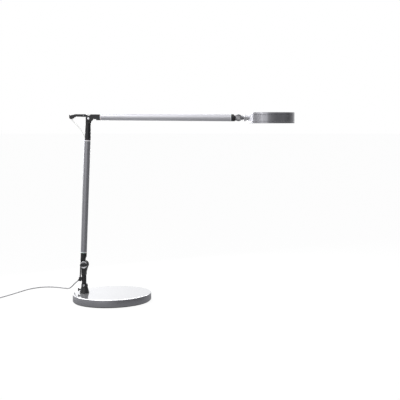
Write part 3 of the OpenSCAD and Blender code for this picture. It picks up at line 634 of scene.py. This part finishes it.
def grey_pvc():
    """Grey PVC jacket: the twist of the cores inside shows as long shallow waves."""
    look = bpy.context.scene.lamp_finish
    made, tree, shader = new_material("grey_pvc", in_IOR=1.5)
    place = add(tree, "ShaderNodeTexCoord")
    # The lay of the cores is 30 mm, and UV runs once round the jacket and in metres along it
    split = add(tree, "ShaderNodeSeparateXYZ", [(place.outputs["UV"], 0)])
    lay = calculate(tree, "MULTIPLY", split.outputs["Y"], 2 * math.pi / (30 * MM))
    around = calculate(tree, "MULTIPLY", split.outputs["X"], 2 * math.pi)
    twist = calculate(tree, "SINE", calculate(tree, "ADD", lay, around))
    half = calculate(tree, "ADD", calculate(tree, "MULTIPLY", twist, 0.5), 0.5)
    dress(tree, shader, half, look.cord, 0.05, 0.36, 0.46)
    bump(tree, shader, half, 0.05 * MM)
    return made


METAL = {"in_Metallic": 1.0}
RUBBER = ("black_rubber", "#232325", (0.6, 0.85), 0.7, 0.04, 0.2, {})
# By slot: name, colour or its setting, range of roughness, the grain's size and depth in mm, how
# far the shade changes, and other inputs
GRAINED = {
    # Steel, nickel plated and polished: a bright mirror with a slight haze
    "bright_steel": ("nickel_plate", "nickel", (0.08, 0.2), 1.2, 0.002, 0.08, METAL),
    # Zinc casting, plated in dark nickel and polished: a dim mirror with a slight haze
    "dark_nickel": ("dark_nickel", "#8F8F94", (0.12, 0.24), 1.2, 0.002, 0.08, METAL),
    # Steel, zinc plated: a dull grey shine with a fine frost
    "steel": ("zinc_plate", "#A7A8AB", (0.28, 0.45), 0.6, 0.01, 0.08, METAL),
    # Sintered bronze, oiled: a brown metal with fine pores
    "bronze": ("sintered_bronze", "#A9804C", (0.35, 0.6), 0.3, 0.03, 0.08, METAL),
    # Aluminium as cast: grey, matt and slightly pitted
    "cast_aluminium": ("cast_aluminium", "#8D8D90", (0.45, 0.65), 0.9, 0.06, 0.08, METAL),
    # Zinc casting with semi-gloss black paint: soft highlights over a faint orange peel
    "black_metal": ("black_paint", "paint", (0.3, 0.46), 1.1, 0.02, 0.2, {}),
    # Moulded black nylon with a fine spark texture, which keeps it matt
    "black_plastic": ("black_nylon", "#202023", (0.42, 0.6), 0.5, 0.03, 0.15, {}),
    # Moulded white nylon: smooth, milky and slightly glossy
    "white_plastic": (
        "white_nylon", "#DCDCDE", (0.28, 0.4), 0.8, 0.01, 0.02,
        {"in_Subsurface_Weight": 0.15, "in_Subsurface_Scale": 1.5 * MM},
    ),
    # Clear insulation over bright wire: pale, glossy and partly see-through
    "clear_lead": ("clear_pvc", "#E9EAE8", (0.12, 0.24), 1.5, 0.01, 0.03, {"in_Alpha": 0.4}),
    # Black PVC insulation: smooth with a soft shine
    "dark_lead": ("black_pvc", "#242427", (0.32, 0.46), 0.8, 0.01, 0.1, {}),
    # Moulded black rubber: matt, with a dusty bloom
    "rubber_pad": RUBBER,
    "black_rubber": RUBBER,
    # White solder mask on a circuit board: smooth and slightly glossy
    "white_board": ("white_solder_mask", "#E9E9E5", (0.3, 0.42), 0.6, 0.01, 0.03, {}),
    # The yellow phosphor gel on an LED
    "led_lens": ("led_phosphor", "#E8CF62", (0.2, 0.32), 0.4, 0.02, 0.1, {}),
    # Opal acrylic with a satin face: light enters it, so it looks milky and has no hard edge
    "opal_acrylic": (
        "opal_acrylic", "#F3F3EF", (0.3, 0.44), 0.5, 0.01, 0.02,
        {"in_Subsurface_Weight": 0.4, "in_Subsurface_Scale": 2 * MM, "in_IOR": 1.49},
    ),
}
FINISH_MAKERS = {
    "polished_aluminium": polished_aluminium,
    "turned_aluminium": turned_aluminium,
    "grey_cord": grey_pvc,
}
FINISHES = {}


def make_finish(slot):
    """A new material for a slot."""
    look = bpy.context.scene.lamp_finish
    # One satin anodised finish in two colours: the upper tube's lighter one is painted light, the
    # lower tube's darker one is painted shade.
    if slot == "satin_aluminium":
        return anodised_tube("satin_anodised_level", look.upper, (0, math.pi / 2, 0))
    if slot == "satin_aluminium_lower":
        return anodised_tube("satin_anodised_upright", look.lower, (0, -LEAN, 0))
    if slot in GRAINED:
        return grained(*GRAINED[slot])
    return FINISH_MAKERS[slot]()


def finish(slot):
    """The material of a slot, made the first time that a piece asks for it."""
    if slot not in FINISHES:
        FINISHES[slot] = make_finish(slot)
    return FINISHES[slot]


def head_centre():
    """The middle of the head's underside."""
    low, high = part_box("head_bezel")
    return Vector(((low.x + high.x) / 2, 0, low.z))


# ---- The lamp's pieces ----

# The routes repeat those of the CAD model, in millimetres
CORD_ROUTE = [
    (-91.2, 0, 55.4), (-95, 7, 52), (-100, 18, 48), (-106, 33, 43), (-114, 53, 35.5),
    (-123, 75, 27), (-132, 97, 19), (-140, 118, 12.5), (-147, 138, 7.5), (-154, 154, 4),
    (-162, 165, 2.2), (-172, 172, 1.9), (-190, 181, 1.9), (-208, 187, 1.9), (-227, 187, 1.9),
    (-243, 180, 1.9), (-257, 167, 1.9), (-269, 148, 1.9), (-279, 122, 1.9), (-288, 96, 1.9),
    (-297, 70, 1.9), (-307, 44, 1.9), (-316, 22, 1.9), (-319, 4, 1.9),
]
TAIL_ROUTE = [
    (-319, 4, 11.6), (-318, -6, 11.6), (-317.5, -16, 11.2), (-318.5, -26, 11), (-321, -35, 11.4),
    (-323, -42, 11.8), (-324, -48, 12), (-324, -53, 12),
]
COIL_CENTRE = (-342, 0)
COIL_LOW = 1.9
COIL_LAYER = 3.1


class LAMP_OT_camera(bpy.types.Operator):
    """Places the camera level in front of the lamp"""

    bl_idname = "lamp.camera"
    bl_label = "Camera"

    def execute(self, context):
        scene = context.scene
        data = bpy.data.cameras.new("camera")
        data.sensor_width = 36.0
        data.lens = 81.05
        data.shift_x = -0.1665
        data.shift_y = -0.2002
        camera = new_object("camera", data)
        camera.location = (0.419, -2.445, 0.490)
        camera.rotation_euler = (math.pi / 2, 0, 0)
        scene.camera = camera
        return {"FINISHED"}


def coil_radii(pitch):
    """The radii of the coil's turns, layer by layer, inwards and outwards in turn."""
    outer = (CORD_ROUTE[-1][0] - COIL_CENTRE[0]) * MM + 0.4 * MM
    inwards = [outer - k * pitch for k in range(3)]
    outwards = [outer + (0.5 - k) * pitch for k in (2, 1, 0)]
    return [inwards, outwards, inwards, [outwards[0]]]


def coil_points(pitch):
    """The middle line of the coil: each turn keeps its place and then eases into the next one."""
    steps, ease_from = 32, 0.72
    start = Vector(CORD_ROUTE[-1]) * MM
    end = Vector(TAIL_ROUTE[0]) * MM
    centre = Vector((*COIL_CENTRE, 0)) * MM
    first = math.atan2(start.y - centre.y, start.x - centre.x)
    reach = math.hypot(start.x - centre.x, start.y - centre.y)
    places = [
        (radius, COIL_LOW * MM + layer * COIL_LAYER * MM)
        for layer, radii in enumerate(coil_radii(pitch)) for radius in radii
    ]
    places.append((reach, end.z))
    found = []
    for turn, (radius, height) in enumerate(places[:-1]):
        for k in range(steps):
            share = k / steps
            r, z = radius, height
            if share > ease_from:
                t = (share - ease_from) / (1 - ease_from)
                t = t * t * (3 - 2 * t)
                r += (places[turn + 1][0] - radius) * t
                z += (places[turn + 1][1] - height) * t
            elif turn == 0:
                t = max(0.0, 1 - share / 0.2)
                r += (reach - radius) * t * t * (3 - 2 * t)
            angle = first - 2 * math.pi * share
            found.append(centre + Vector((r * math.cos(angle), r * math.sin(angle), z)))
    return found


class LAMP_OT_cord(bpy.types.Operator):
    """Makes the cord with its coil, its tie and its adapter"""

    bl_idname = "lamp.cord"
    bl_label = "Cord"

    def execute(self, context):
        size = context.scene.lamp_cord
        run = [point * MM for point in smooth_points(CORD_ROUTE, 5)]
        tail = [point * MM for point in smooth_points(TAIL_ROUTE, 5)]
        inside = [tail[-1] - Vector((0, k * MM, 0)) for k in (6, 12, 18, 24)]
        path = run[:-1] + coil_points(size.pitch) + tail + inside
        cord = tube("cord", path, size.diameter / 2, size.sides)
        finish_piece(cord, None, "grey_cord")
        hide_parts("cord_run", "cord_coil", "cord_tail")
        # The bend lies straight below the exit and above the base, so what is on the table stays.
        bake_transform(cord)
        self.tie(size)
        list(self.adapter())
        return {"FINISHED"}

    def tie(self, size):
        """A flat strap round the coil's section, where it is away from the lead in and out."""
        middle = Vector((*COIL_CENTRE, 0)) * MM
        low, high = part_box("cord_coil")
        inner, outer = 14.3 * MM, high.x - middle.x + 0.1 * MM
        bm = bmesh.new()
        radius = (outer - inner) / 2
        half = (high.z - low.z) / 2
        steps, wide, thick, bottom = 40, 4 * MM, 0.6 * MM, 0.75 * MM
        under = 0.7 * MM
        flatness = 0.6  # 1 is a circle, and less is squarer
        outward = Vector((-1, 1, 0)).normalized()
        across = UP.cross(outward)
        rows = []
        for k in range(steps):
            angle = 2 * math.pi * k / steps
            c, s = math.cos(angle), math.sin(angle)
            c = math.copysign(abs(c) ** flatness, c)
            s = math.copysign(abs(s) ** flatness, s)
            row = []
            half_wide = wide / 2
            corners = ((0, -half_wide), (0, half_wide), (thick, half_wide), (thick, -half_wide))
            for grow, shift in corners:
                place = middle + outward * (inner + radius + (radius + grow) * c)
                place += UP * max(bottom - under * (grow > 0), half + (half + grow) * s)
                row.append(bm.verts.new(place + across * shift))
            rows.append(row)
        for k in range(steps):
            near, far = rows[k], rows[(k + 1) % steps]
            for i in range(4):
                j = (i + 1) % 4
                bm.faces.new((near[i], near[j], far[j], far[i]))
        bmesh.ops.recalc_face_normals(bm, faces=bm.faces)
        return finish_piece(from_bmesh("cord_tie", bm), "base", "black_plastic")

    def adapter(self):
        """The plug-in adapter with its pins and its ribbed strain relief."""
        soften("adapter_pins", width=0.7 * MM)
        body = finish_piece(
            soft_copy("adapter_body", 1.2 * MM), "base", "black_plastic", ("adapter_body",)
        )
        low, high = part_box("adapter_boot")
        place = Vector(((low.x + high.x) / 2, low.y, (low.z + high.z) / 2))
        wide, narrow, hole = 3.2 * MM, 2.1 * MM, bpy.context.scene.lamp_cord.diameter / 2
        depth = high.y - low.y
        outline = [(hole, 0), (wide, 0), (narrow, depth - 0.4 * MM)]
        outline += [(narrow - 0.2 * MM, depth), (hole, depth)]
        boot = lathe("adapter_relief", outline, place, (0, 1, 0), 32)
        run_tree(
            boot, rib_tree(), Count=5, Length=depth - 3 * MM, Start_Radius=4 * MM,
            End_Radius=2.8 * MM, Rib=1.2 * MM, Place=place + Vector((0, 1.2 * MM, 0)),
            Material=finish("black_rubber"),
        )
        freeze(boot)
        finish_piece(boot, "base", "black_rubber", ("adapter_boot",))
        return body, boot, bpy.data.objects["adapter_pins_soft"]


class LAMP_OT_base(bpy.types.Operator):
    """Makes the base disc, its pad and the foot"""

    bl_idname = "lamp.base"
    bl_label = "Base"

    def execute(self, context):
        low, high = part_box("base_disc")
        radius, edge = high.x, 1.8 * MM
        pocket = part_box("base_ballast")[1].x + 0.3 * MM
        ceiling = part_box("base_ballast")[1].z
        outline = [(0, high.z), (radius - 8 * MM, high.z)]
        outline += reversed(corner(radius - edge, high.z - edge, edge, 0))
        outline += reversed(corner(radius - edge, low.z + edge, edge, 270))
        outline += [(pocket, low.z), (pocket, ceiling), (0, ceiling)]
        disc = lathe("base_shell", outline, steps=256)
        stem = (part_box("foot_nut")[1].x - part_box("foot_nut")[0].x) / 2 - 4 * MM
        drill(disc, ((FOOT.x, 0, 0), (FOOT.x, 0, high.z + 5 * MM), stem + 0.05 * MM))
        finish_piece(disc, "base", "polished_aluminium", ("base_disc",))
        pad_low, pad_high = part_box("base_pad")
        pad = lathe("base_foot_pad", [
            (0, pad_low.z), (pad_high.x - 1 * MM, pad_low.z), (pad_high.x, pad_low.z + 0.7 * MM),
            (pad_high.x, pad_high.z), (0, pad_high.z),
        ])
        finish_piece(pad, "base", "rubber_pad", ("base_pad",))
        soften("foot", "thumb_screw")
        return {"FINISHED"}


class LAMP_OT_post(bpy.types.Operator):
    """Makes the post, its clip and the lower hinge"""

    bl_idname = "lamp.post"
    bl_label = "Post"

    def execute(self, context):
        soften("post", "post_collar", "cord_clip", "clip_boot", "lower_nut", "lower_knob")
        soften("collar_pin", "lower_axle", width=0.3 * MM)
        self.rings()
        return {"FINISHED"}

    def rings(self):
        """The two polished rings of the hinge, with round outer edges."""
        low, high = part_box("lower_rings")
        radius = (high.x - low.x) / 2
        thick, bore, crown = 1.4 * MM, 3.05 * MM, 0.55 * MM
        outline = [(bore, 0), (radius, 0)]
        outline += corner(radius - crown, thick - crown, crown, 0)
        outline += [(radius - 2.6 * MM, thick - 0.3 * MM), (bore, thick - 0.3 * MM)]
        for side in (-1, 1):
            face = low.y + thick if side < 0 else high.y - thick
            ring = lathe(
                "hinge_ring_front" if side < 0 else "hinge_ring_back", outline,
                (HINGE.x, face, HINGE.z), (0, side, 0), 96,
            )
            finish_piece(ring, "post", "bright_steel", ("lower_rings",))


class LAMP_OT_arms(bpy.types.Operator):
    """Makes both arms' tubes, caps and the elbow"""

    bl_idname = "lamp.arms"
    bl_label = "Arms"

    def execute(self, context):
        # The lower tube takes the darker colour of the tube finish, which is painted shade.
        soften("lower_tube", width=0.2 * MM, material=finish("satin_aluminium_lower"))
        soften("upper_tube", width=0.2 * MM)
        soften("lower_tube_rings", "upper_tube_rings", width=0.3 * MM)
        soften("lower_cap", "elbow_tongue", "elbow_fork", "tail_lever", "upper_cap")
        soften("tail_pin", "elbow_axle", width=0.25 * MM)
        return {"FINISHED"}


# Routes of the leads past the hinges, in mm from the hinge
HINGE_LEAD = [
    (-11, 0, -38), (-11, 0, -32.6), (-10.4, 0, -22), (-10, 0, -12), (-9.5, 0, -2),
    (-8.7, 0, 4.4), (-7.4, 0, 11.4),
]
ELBOW_LEAD = [
    (-12.6, 0, -47.6), (-15.4, 0, -43), (-17.8, 0, -38), (-20.6, 0, -33), (-25, 0, -27),
    (-31.4, 0, -19.5), (-38.4, 0, -11.8), (-44.4, 0, -5.6), (-46.6, 0, -2.2),
]


class LAMP_OT_leads(bpy.types.Operator):
    """Makes the leads past the hinges and in the arms"""

    bl_idname = "lamp.leads"
    bl_label = "Leads"

    def execute(self, context):
        size = context.scene.lamp_cord
        tree = path_tree()
        hinge = self.lead("hinge_lead", tree, size.diameter, "dark_lead", HINGE_LEAD, HINGE)
        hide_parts("lower_jumper")
        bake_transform(hinge)
        elbow = self.lead("elbow_lead", tree, size.lead, "clear_lead", ELBOW_LEAD, ELBOW)
        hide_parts("elbow_jumper")
        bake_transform(elbow)
        return {"FINISHED"}

    def lead(self, name, tree, diameter, slot, route, hinge):
        """One lead along a route, made by the tree."""
        points = [hinge + point * MM for point in smooth_points(route, 6)]
        mesh = bpy.data.meshes.new(name)
        mesh.from_pydata(points, [(k, k + 1) for k in range(len(points) - 1)], [])
        made = new_object(name, mesh)
        run_tree(made, tree, Radius=diameter / 2, Sides=16, Material=finish(slot))
        freeze(made)
        made.data.shade_smooth()
        return finish_piece(made, None, slot)


class LAMP_OT_head(bpy.types.Operator):
    """Makes the yoke, the neck and the head's rings"""

    bl_idname = "lamp.head"
    bl_label = "Head"

    def execute(self, context):
        soften("yoke", width=0.5 * MM, material=finish("dark_nickel"))
        soften("neck", width=0.5 * MM)
        soften("tilt_axle", "dimmer_button", width=0.3 * MM)
        size = context.scene.lamp_head
        cover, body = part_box("head_cover"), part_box("head_body")
        centre = head_centre()
        radius = body[1].x - centre.x
        seam = 0.2 * MM
        top, low = cover[1].z - centre.z, body[1].z - centre.z + seam
        edge, wall, groove = size.edge, size.wall, size.groove
        roof = top - 2 * MM
        outline = [(0, top), (radius - 6 * MM, top)]
        outline += reversed(corner(radius - edge, top - edge, edge, 0))
        outline += [(radius, low + groove), (radius - groove, low), (radius - wall, low)]
        outline += [(radius - wall, roof), (0, roof)]
        lid = lathe("head_lid", outline, centre, steps=256)
        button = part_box("dimmer_button")
        middle = (button[0] + button[1]) / 2
        switch_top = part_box("dimmer_switch")[1].z
        button_hole = 6.7 * MM
        drill(lid, (
            (middle.x, middle.y, switch_top), (middle.x, middle.y, cover[1].z + 5 * MM), button_hole
        ))
        finish_piece(lid, "head", "turned_aluminium", ("head_cover",))
        base, high = body[0].z - centre.z, body[1].z - centre.z
        ring = lathe("head_ring", [
            (radius - wall, base), (radius - groove, base), (radius, base + groove),
            (radius, high - groove), (radius - groove, high), (radius - wall, high),
        ], centre, steps=256)
        pin_bore, pin_depth, seat_bore, seat_depth = 5.05 * MM, 12 * MM, 7.3 * MM, 1.3 * MM
        start, face = (TILT.x, 0, TILT.z), centre.x - radius
        drill(
            ring, (start, (face + pin_depth, 0, TILT.z), pin_bore),
            (start, (face + seat_depth, 0, TILT.z), seat_bore),
        )
        finish_piece(ring, "head", "turned_aluminium", ("head_body",))
        rim = body[0].z - centre.z - seam
        ledge, ledge_top, bevel = 4 * MM, 1.4 * MM, 0.4 * MM
        inner = radius - wall
        outline = [(inner, rim), (inner, ledge_top), (inner - ledge, ledge_top)]
        outline += [(inner - ledge, bevel), (inner - ledge + bevel, 0)]
        outline += corner(radius - edge, edge, edge, 270)
        outline += [(radius, rim - groove), (radius - groove, rim)]
        bezel = lathe("head_rim", outline, centre, steps=256)
        finish_piece(bezel, "head", "turned_aluminium", ("head_bezel",))
        return {"FINISHED"}


class LAMP_OT_light(bpy.types.Operator):
    """Makes the heat sink with its fins, the LEDs and the diffuser"""

    bl_idname = "lamp.light"
    bl_label = "Light"

    def execute(self, context):
        size = context.scene.lamp_head
        tree = circle_tree()
        self.sink(size, tree)
        self.leds(size, tree)
        low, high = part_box("diffuser")
        centre = head_centre()
        radius, edge = high.x - centre.x, 0.5 * MM
        outline = [(0, low.z), (radius - edge, low.z), (radius, low.z + edge)]
        outline += [(radius, high.z - edge), (radius - edge, high.z), (0, high.z)]
        lens = lathe("opal_lens", outline, (centre.x, 0, 0))
        finish_piece(lens, "head", "opal_acrylic", ("diffuser",))
        return {"FINISHED"}

    def sink(self, size, tree):
        """The cast plate with its hub, and the fins on it as far as the switch."""
        low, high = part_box("heat_sink")
        centre = (low + high) / 2
        radius, plate, hub = (high.x - low.x) / 2, 3 * MM, 9 * MM
        rise = high.z - low.z
        sink = lathe("heat_sink_cast", [
            (0, low.z), (radius - 0.5 * MM, low.z), (radius, low.z + 0.5 * MM),
            (radius, low.z + plate - 0.5 * MM), (radius - 0.5 * MM, low.z + plate),
            (hub, low.z + plate), (hub - 0.5 * MM, high.z), (0, high.z),
        ], (centre.x, 0, 0), steps=96)
        inner, outer = 8.5 * MM, radius - 4 * MM
        run_tree(
            sink, tree, Count=size.fins, Radius=(inner + outer) / 2, Start=math.pi,
            Block=(outer - inner, 1.8 * MM, rise - plate), Stud=1.5 * MM, Skip_First=True,
            Centre=(centre.x, 0, (low.z + plate + high.z) / 2), Material=finish("cast_aluminium"),
        )
        freeze(sink)
        screw_circle, screw_hole = 35 * MM, 4.3 * MM
        for k in range(3):
            angle = 2 * math.pi * k / 3
            x, y = centre.x + screw_circle * math.cos(angle), screw_circle * math.sin(angle)
            drill(sink, ((x, y, low.z - MM), (x, y, high.z + MM), screw_hole))
        finish_piece(sink, "head", "cast_aluminium", ("heat_sink",))

    def leds(self, size, tree):
        """Two circles of LED packages under the board, each with its phosphor dome."""
        low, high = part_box("leds")
        centre = (low + high) / 2
        made = new_object("led_packages", bpy.data.meshes.new("led_packages"))
        for count, radius in ((size.inner_leds, 18 * MM), (size.outer_leds, 46 * MM)):
            run_tree(
                made, tree, Count=count, Radius=radius, Start=math.pi / count,
                Block=(3 * MM, 3 * MM, high.z - low.z - 0.2 * MM), Stud=1.2 * MM,
                Centre=(centre.x, 0, centre.z + 0.1 * MM), Material=finish("led_lens"),
            )
        freeze(made)
        finish_piece(made, "head", "led_lens", ("leds",))


class LAMP_OT_inside(bpy.types.Operator):
    """Gives the CAD nodes that still show their finishes"""

    bl_idname = "lamp.inside"
    bl_label = "Inside"

    def execute(self, context):
        for name, slot in SLOT_OF.items():
            node = frame["nodes"][name]
            node.data.materials.clear()
            node.data.materials.append(finish(slot))
        return {"FINISHED"}


class LAMP_OT_stage(bpy.types.Operator):
    """Makes the pale floor, the surroundings and the light"""

    bl_idname = "lamp.stage"
    bl_label = "Stage"

    def execute(self, context):
        scene = context.scene
        scene.view_settings.view_transform = "Standard"
        self.floor()
        self.surroundings(scene)
        power = scene.lamp_studio.key_power
        self.softbox("key", (-0.45, -0.5, 1.15), (0.05, 0, 0.4), (0.7, 0.7), power)
        self.softbox("fill", (-0.12, -0.79, 0.55), (0.1, 0, 0.55), (0.62, 1.0), power * 0.25)
        self.softbox("edge", (-0.24, 0.525, 0.775), (0.325, -0.3, 0.775), (1.11, 0.85), power * 3.6)
        return {"FINISHED"}

    def softbox(self, name, place, aim, size, power):
        """A soft rectangular light, which the camera itself doesn't see."""
        light = bpy.data.lights.new(name, "AREA")
        light.shape = "RECTANGLE"
        light.size, light.size_y = size
        light.energy = power
        lamp = new_object(name, light)
        lamp.location = place
        lamp.rotation_euler = (Vector(aim) - Vector(place)).to_track_quat("-Z", "Y").to_euler()
        lamp.visible_camera = False

    def floor(self):
        """A white table top that only the camera sees: the metal reflects the room alone."""
        bm = bmesh.new()
        bmesh.ops.create_grid(bm, x_segments=1, y_segments=1, size=30)
        floor = from_bmesh("floor", bm)
        floor.location.z = -0.1 * MM
        made, tree, shader = new_material("pale_floor", in_Roughness=0.9)
        shader.inputs["Base Color"].default_value = linear("#E6E6E6")
        white = add(tree, "ShaderNodeEmission", in_Color=(1, 1, 1, 1), in_Strength=1.0)
        lit = add(
            tree, "ShaderNodeMixShader", [(shader.outputs[0], 1), (white.outputs[0], 2)], in_0=0.9
        )
        clear = add(tree, "ShaderNodeBsdfTransparent")
        seen = add(tree, "ShaderNodeLightPath").outputs["Is Camera Ray"]
        mixed = add(
            tree, "ShaderNodeMixShader", [(seen, 0), (clear.outputs[0], 1), (lit.outputs[0], 2)]
        )
        output = next(node for node in tree.nodes if node.type == "OUTPUT_MATERIAL")
        tree.links.new(mixed.outputs[0], output.inputs["Surface"])
        floor.data.materials.append(made)

    def surroundings(self, scene):
        """A room that is white behind the lamp, lit on the left, and dark on the right."""
        world = bpy.data.worlds.new("studio")
        scene.world = world
        world.use_nodes = True
        tree = world.node_tree
        tree.nodes.clear()
        direction = add(tree, "ShaderNodeTexCoord").outputs["Generated"]
        around = add(tree, "ShaderNodeTexGradient", [(direction, 0)], gradient_type="RADIAL")
        # Once round the room from the left: 0.25 is in front, 0.5 on the right and 0.75 behind
        levels = [
            (0.0, 0.8), (0.045, 0.72), (0.14, 0.55), (0.21, 0.6), (0.25, 0.3), (0.325, 0.05),
            (0.43, 0.13), (0.525, 0.05), (0.6, 0.4), (0.7, 0.9), (0.772, 0.9), (0.79, 1.2),
            (0.9, 1.3), (1.0, 0.8),
        ]
        ring = add(tree, "ShaderNodeValToRGB", [(around.outputs[0], 0)])
        ring.color_ramp.interpolation = "LINEAR"
        stops = ring.color_ramp.elements
        while len(stops) < len(levels):
            stops.new(0.5)
        for stop, (place, level) in zip(stops, levels):
            stop.position = place
            stop.color = (level, level, level, 1.0)
        height = add(tree, "ShaderNodeSeparateXYZ", [(direction, 0)]).outputs["Z"]
        smooth = {"interpolation_type": "SMOOTHSTEP"}
        above = remap(tree, height, 0.2, 0.7, **smooth)
        below = remap(tree, height, -0.06, -0.18, **smooth)
        room = cover(tree, above, ring.outputs[0], (1.1, 1.1, 1.11, 1))
        room = cover(tree, below, room, (0.4, 0.4, 0.405, 1))
        seen = add(tree, "ShaderNodeLightPath").outputs["Is Camera Ray"]
        shown = cover(tree, seen, room, (1, 1, 1, 1))
        back = add(tree, "ShaderNodeBackground", [(shown, 0)], in_1=scene.lamp_studio.sky)
        add(tree, "ShaderNodeOutputWorld", [(back.outputs[0], "Surface")])


BUILD_ORDER = [
    LAMP_OT_camera, LAMP_OT_cord, LAMP_OT_leads, LAMP_OT_base, LAMP_OT_post, LAMP_OT_arms,
    LAMP_OT_head, LAMP_OT_light, LAMP_OT_inside, LAMP_OT_stage,
]


class LAMP_PT_panel(bpy.types.Panel):
    """Lists the lamp's settings and the operators that build it"""

    bl_idname = "LAMP_PT_panel"
    bl_label = "Desk lamp"
    bl_space_type = "VIEW_3D"
    bl_region_type = "UI"
    bl_category = "Lamp"

    def draw(self, context):
        for name in SETTINGS:
            group = getattr(context.scene, name)
            box = self.layout.box()
            for key in group.__annotations__:
                box.prop(group, key)
        for made in BUILD_ORDER:
            self.layout.operator(made.bl_idname)


SETTINGS = {
    "lamp_finish": LampFinish, "lamp_cord": LampCord, "lamp_head": LampHead,
    "lamp_studio": LampStudio,
}
CLASSES = [*SETTINGS.values(), *BUILD_ORDER, LAMP_PT_panel]


def register():
    for made in CLASSES:
        bpy.utils.register_class(made)
    for name, group in SETTINGS.items():
        setattr(bpy.types.Scene, name, bpy.props.PointerProperty(type=group))


def unregister():
    for name in SETTINGS:
        delattr(bpy.types.Scene, name)
    for made in reversed(CLASSES):
        bpy.utils.unregister_class(made)


def main():
    register()
    for made in BUILD_ORDER:
        area, name = made.bl_idname.split(".")
        getattr(getattr(bpy.ops, area), name)()


if __name__ == "__main__":
    main()
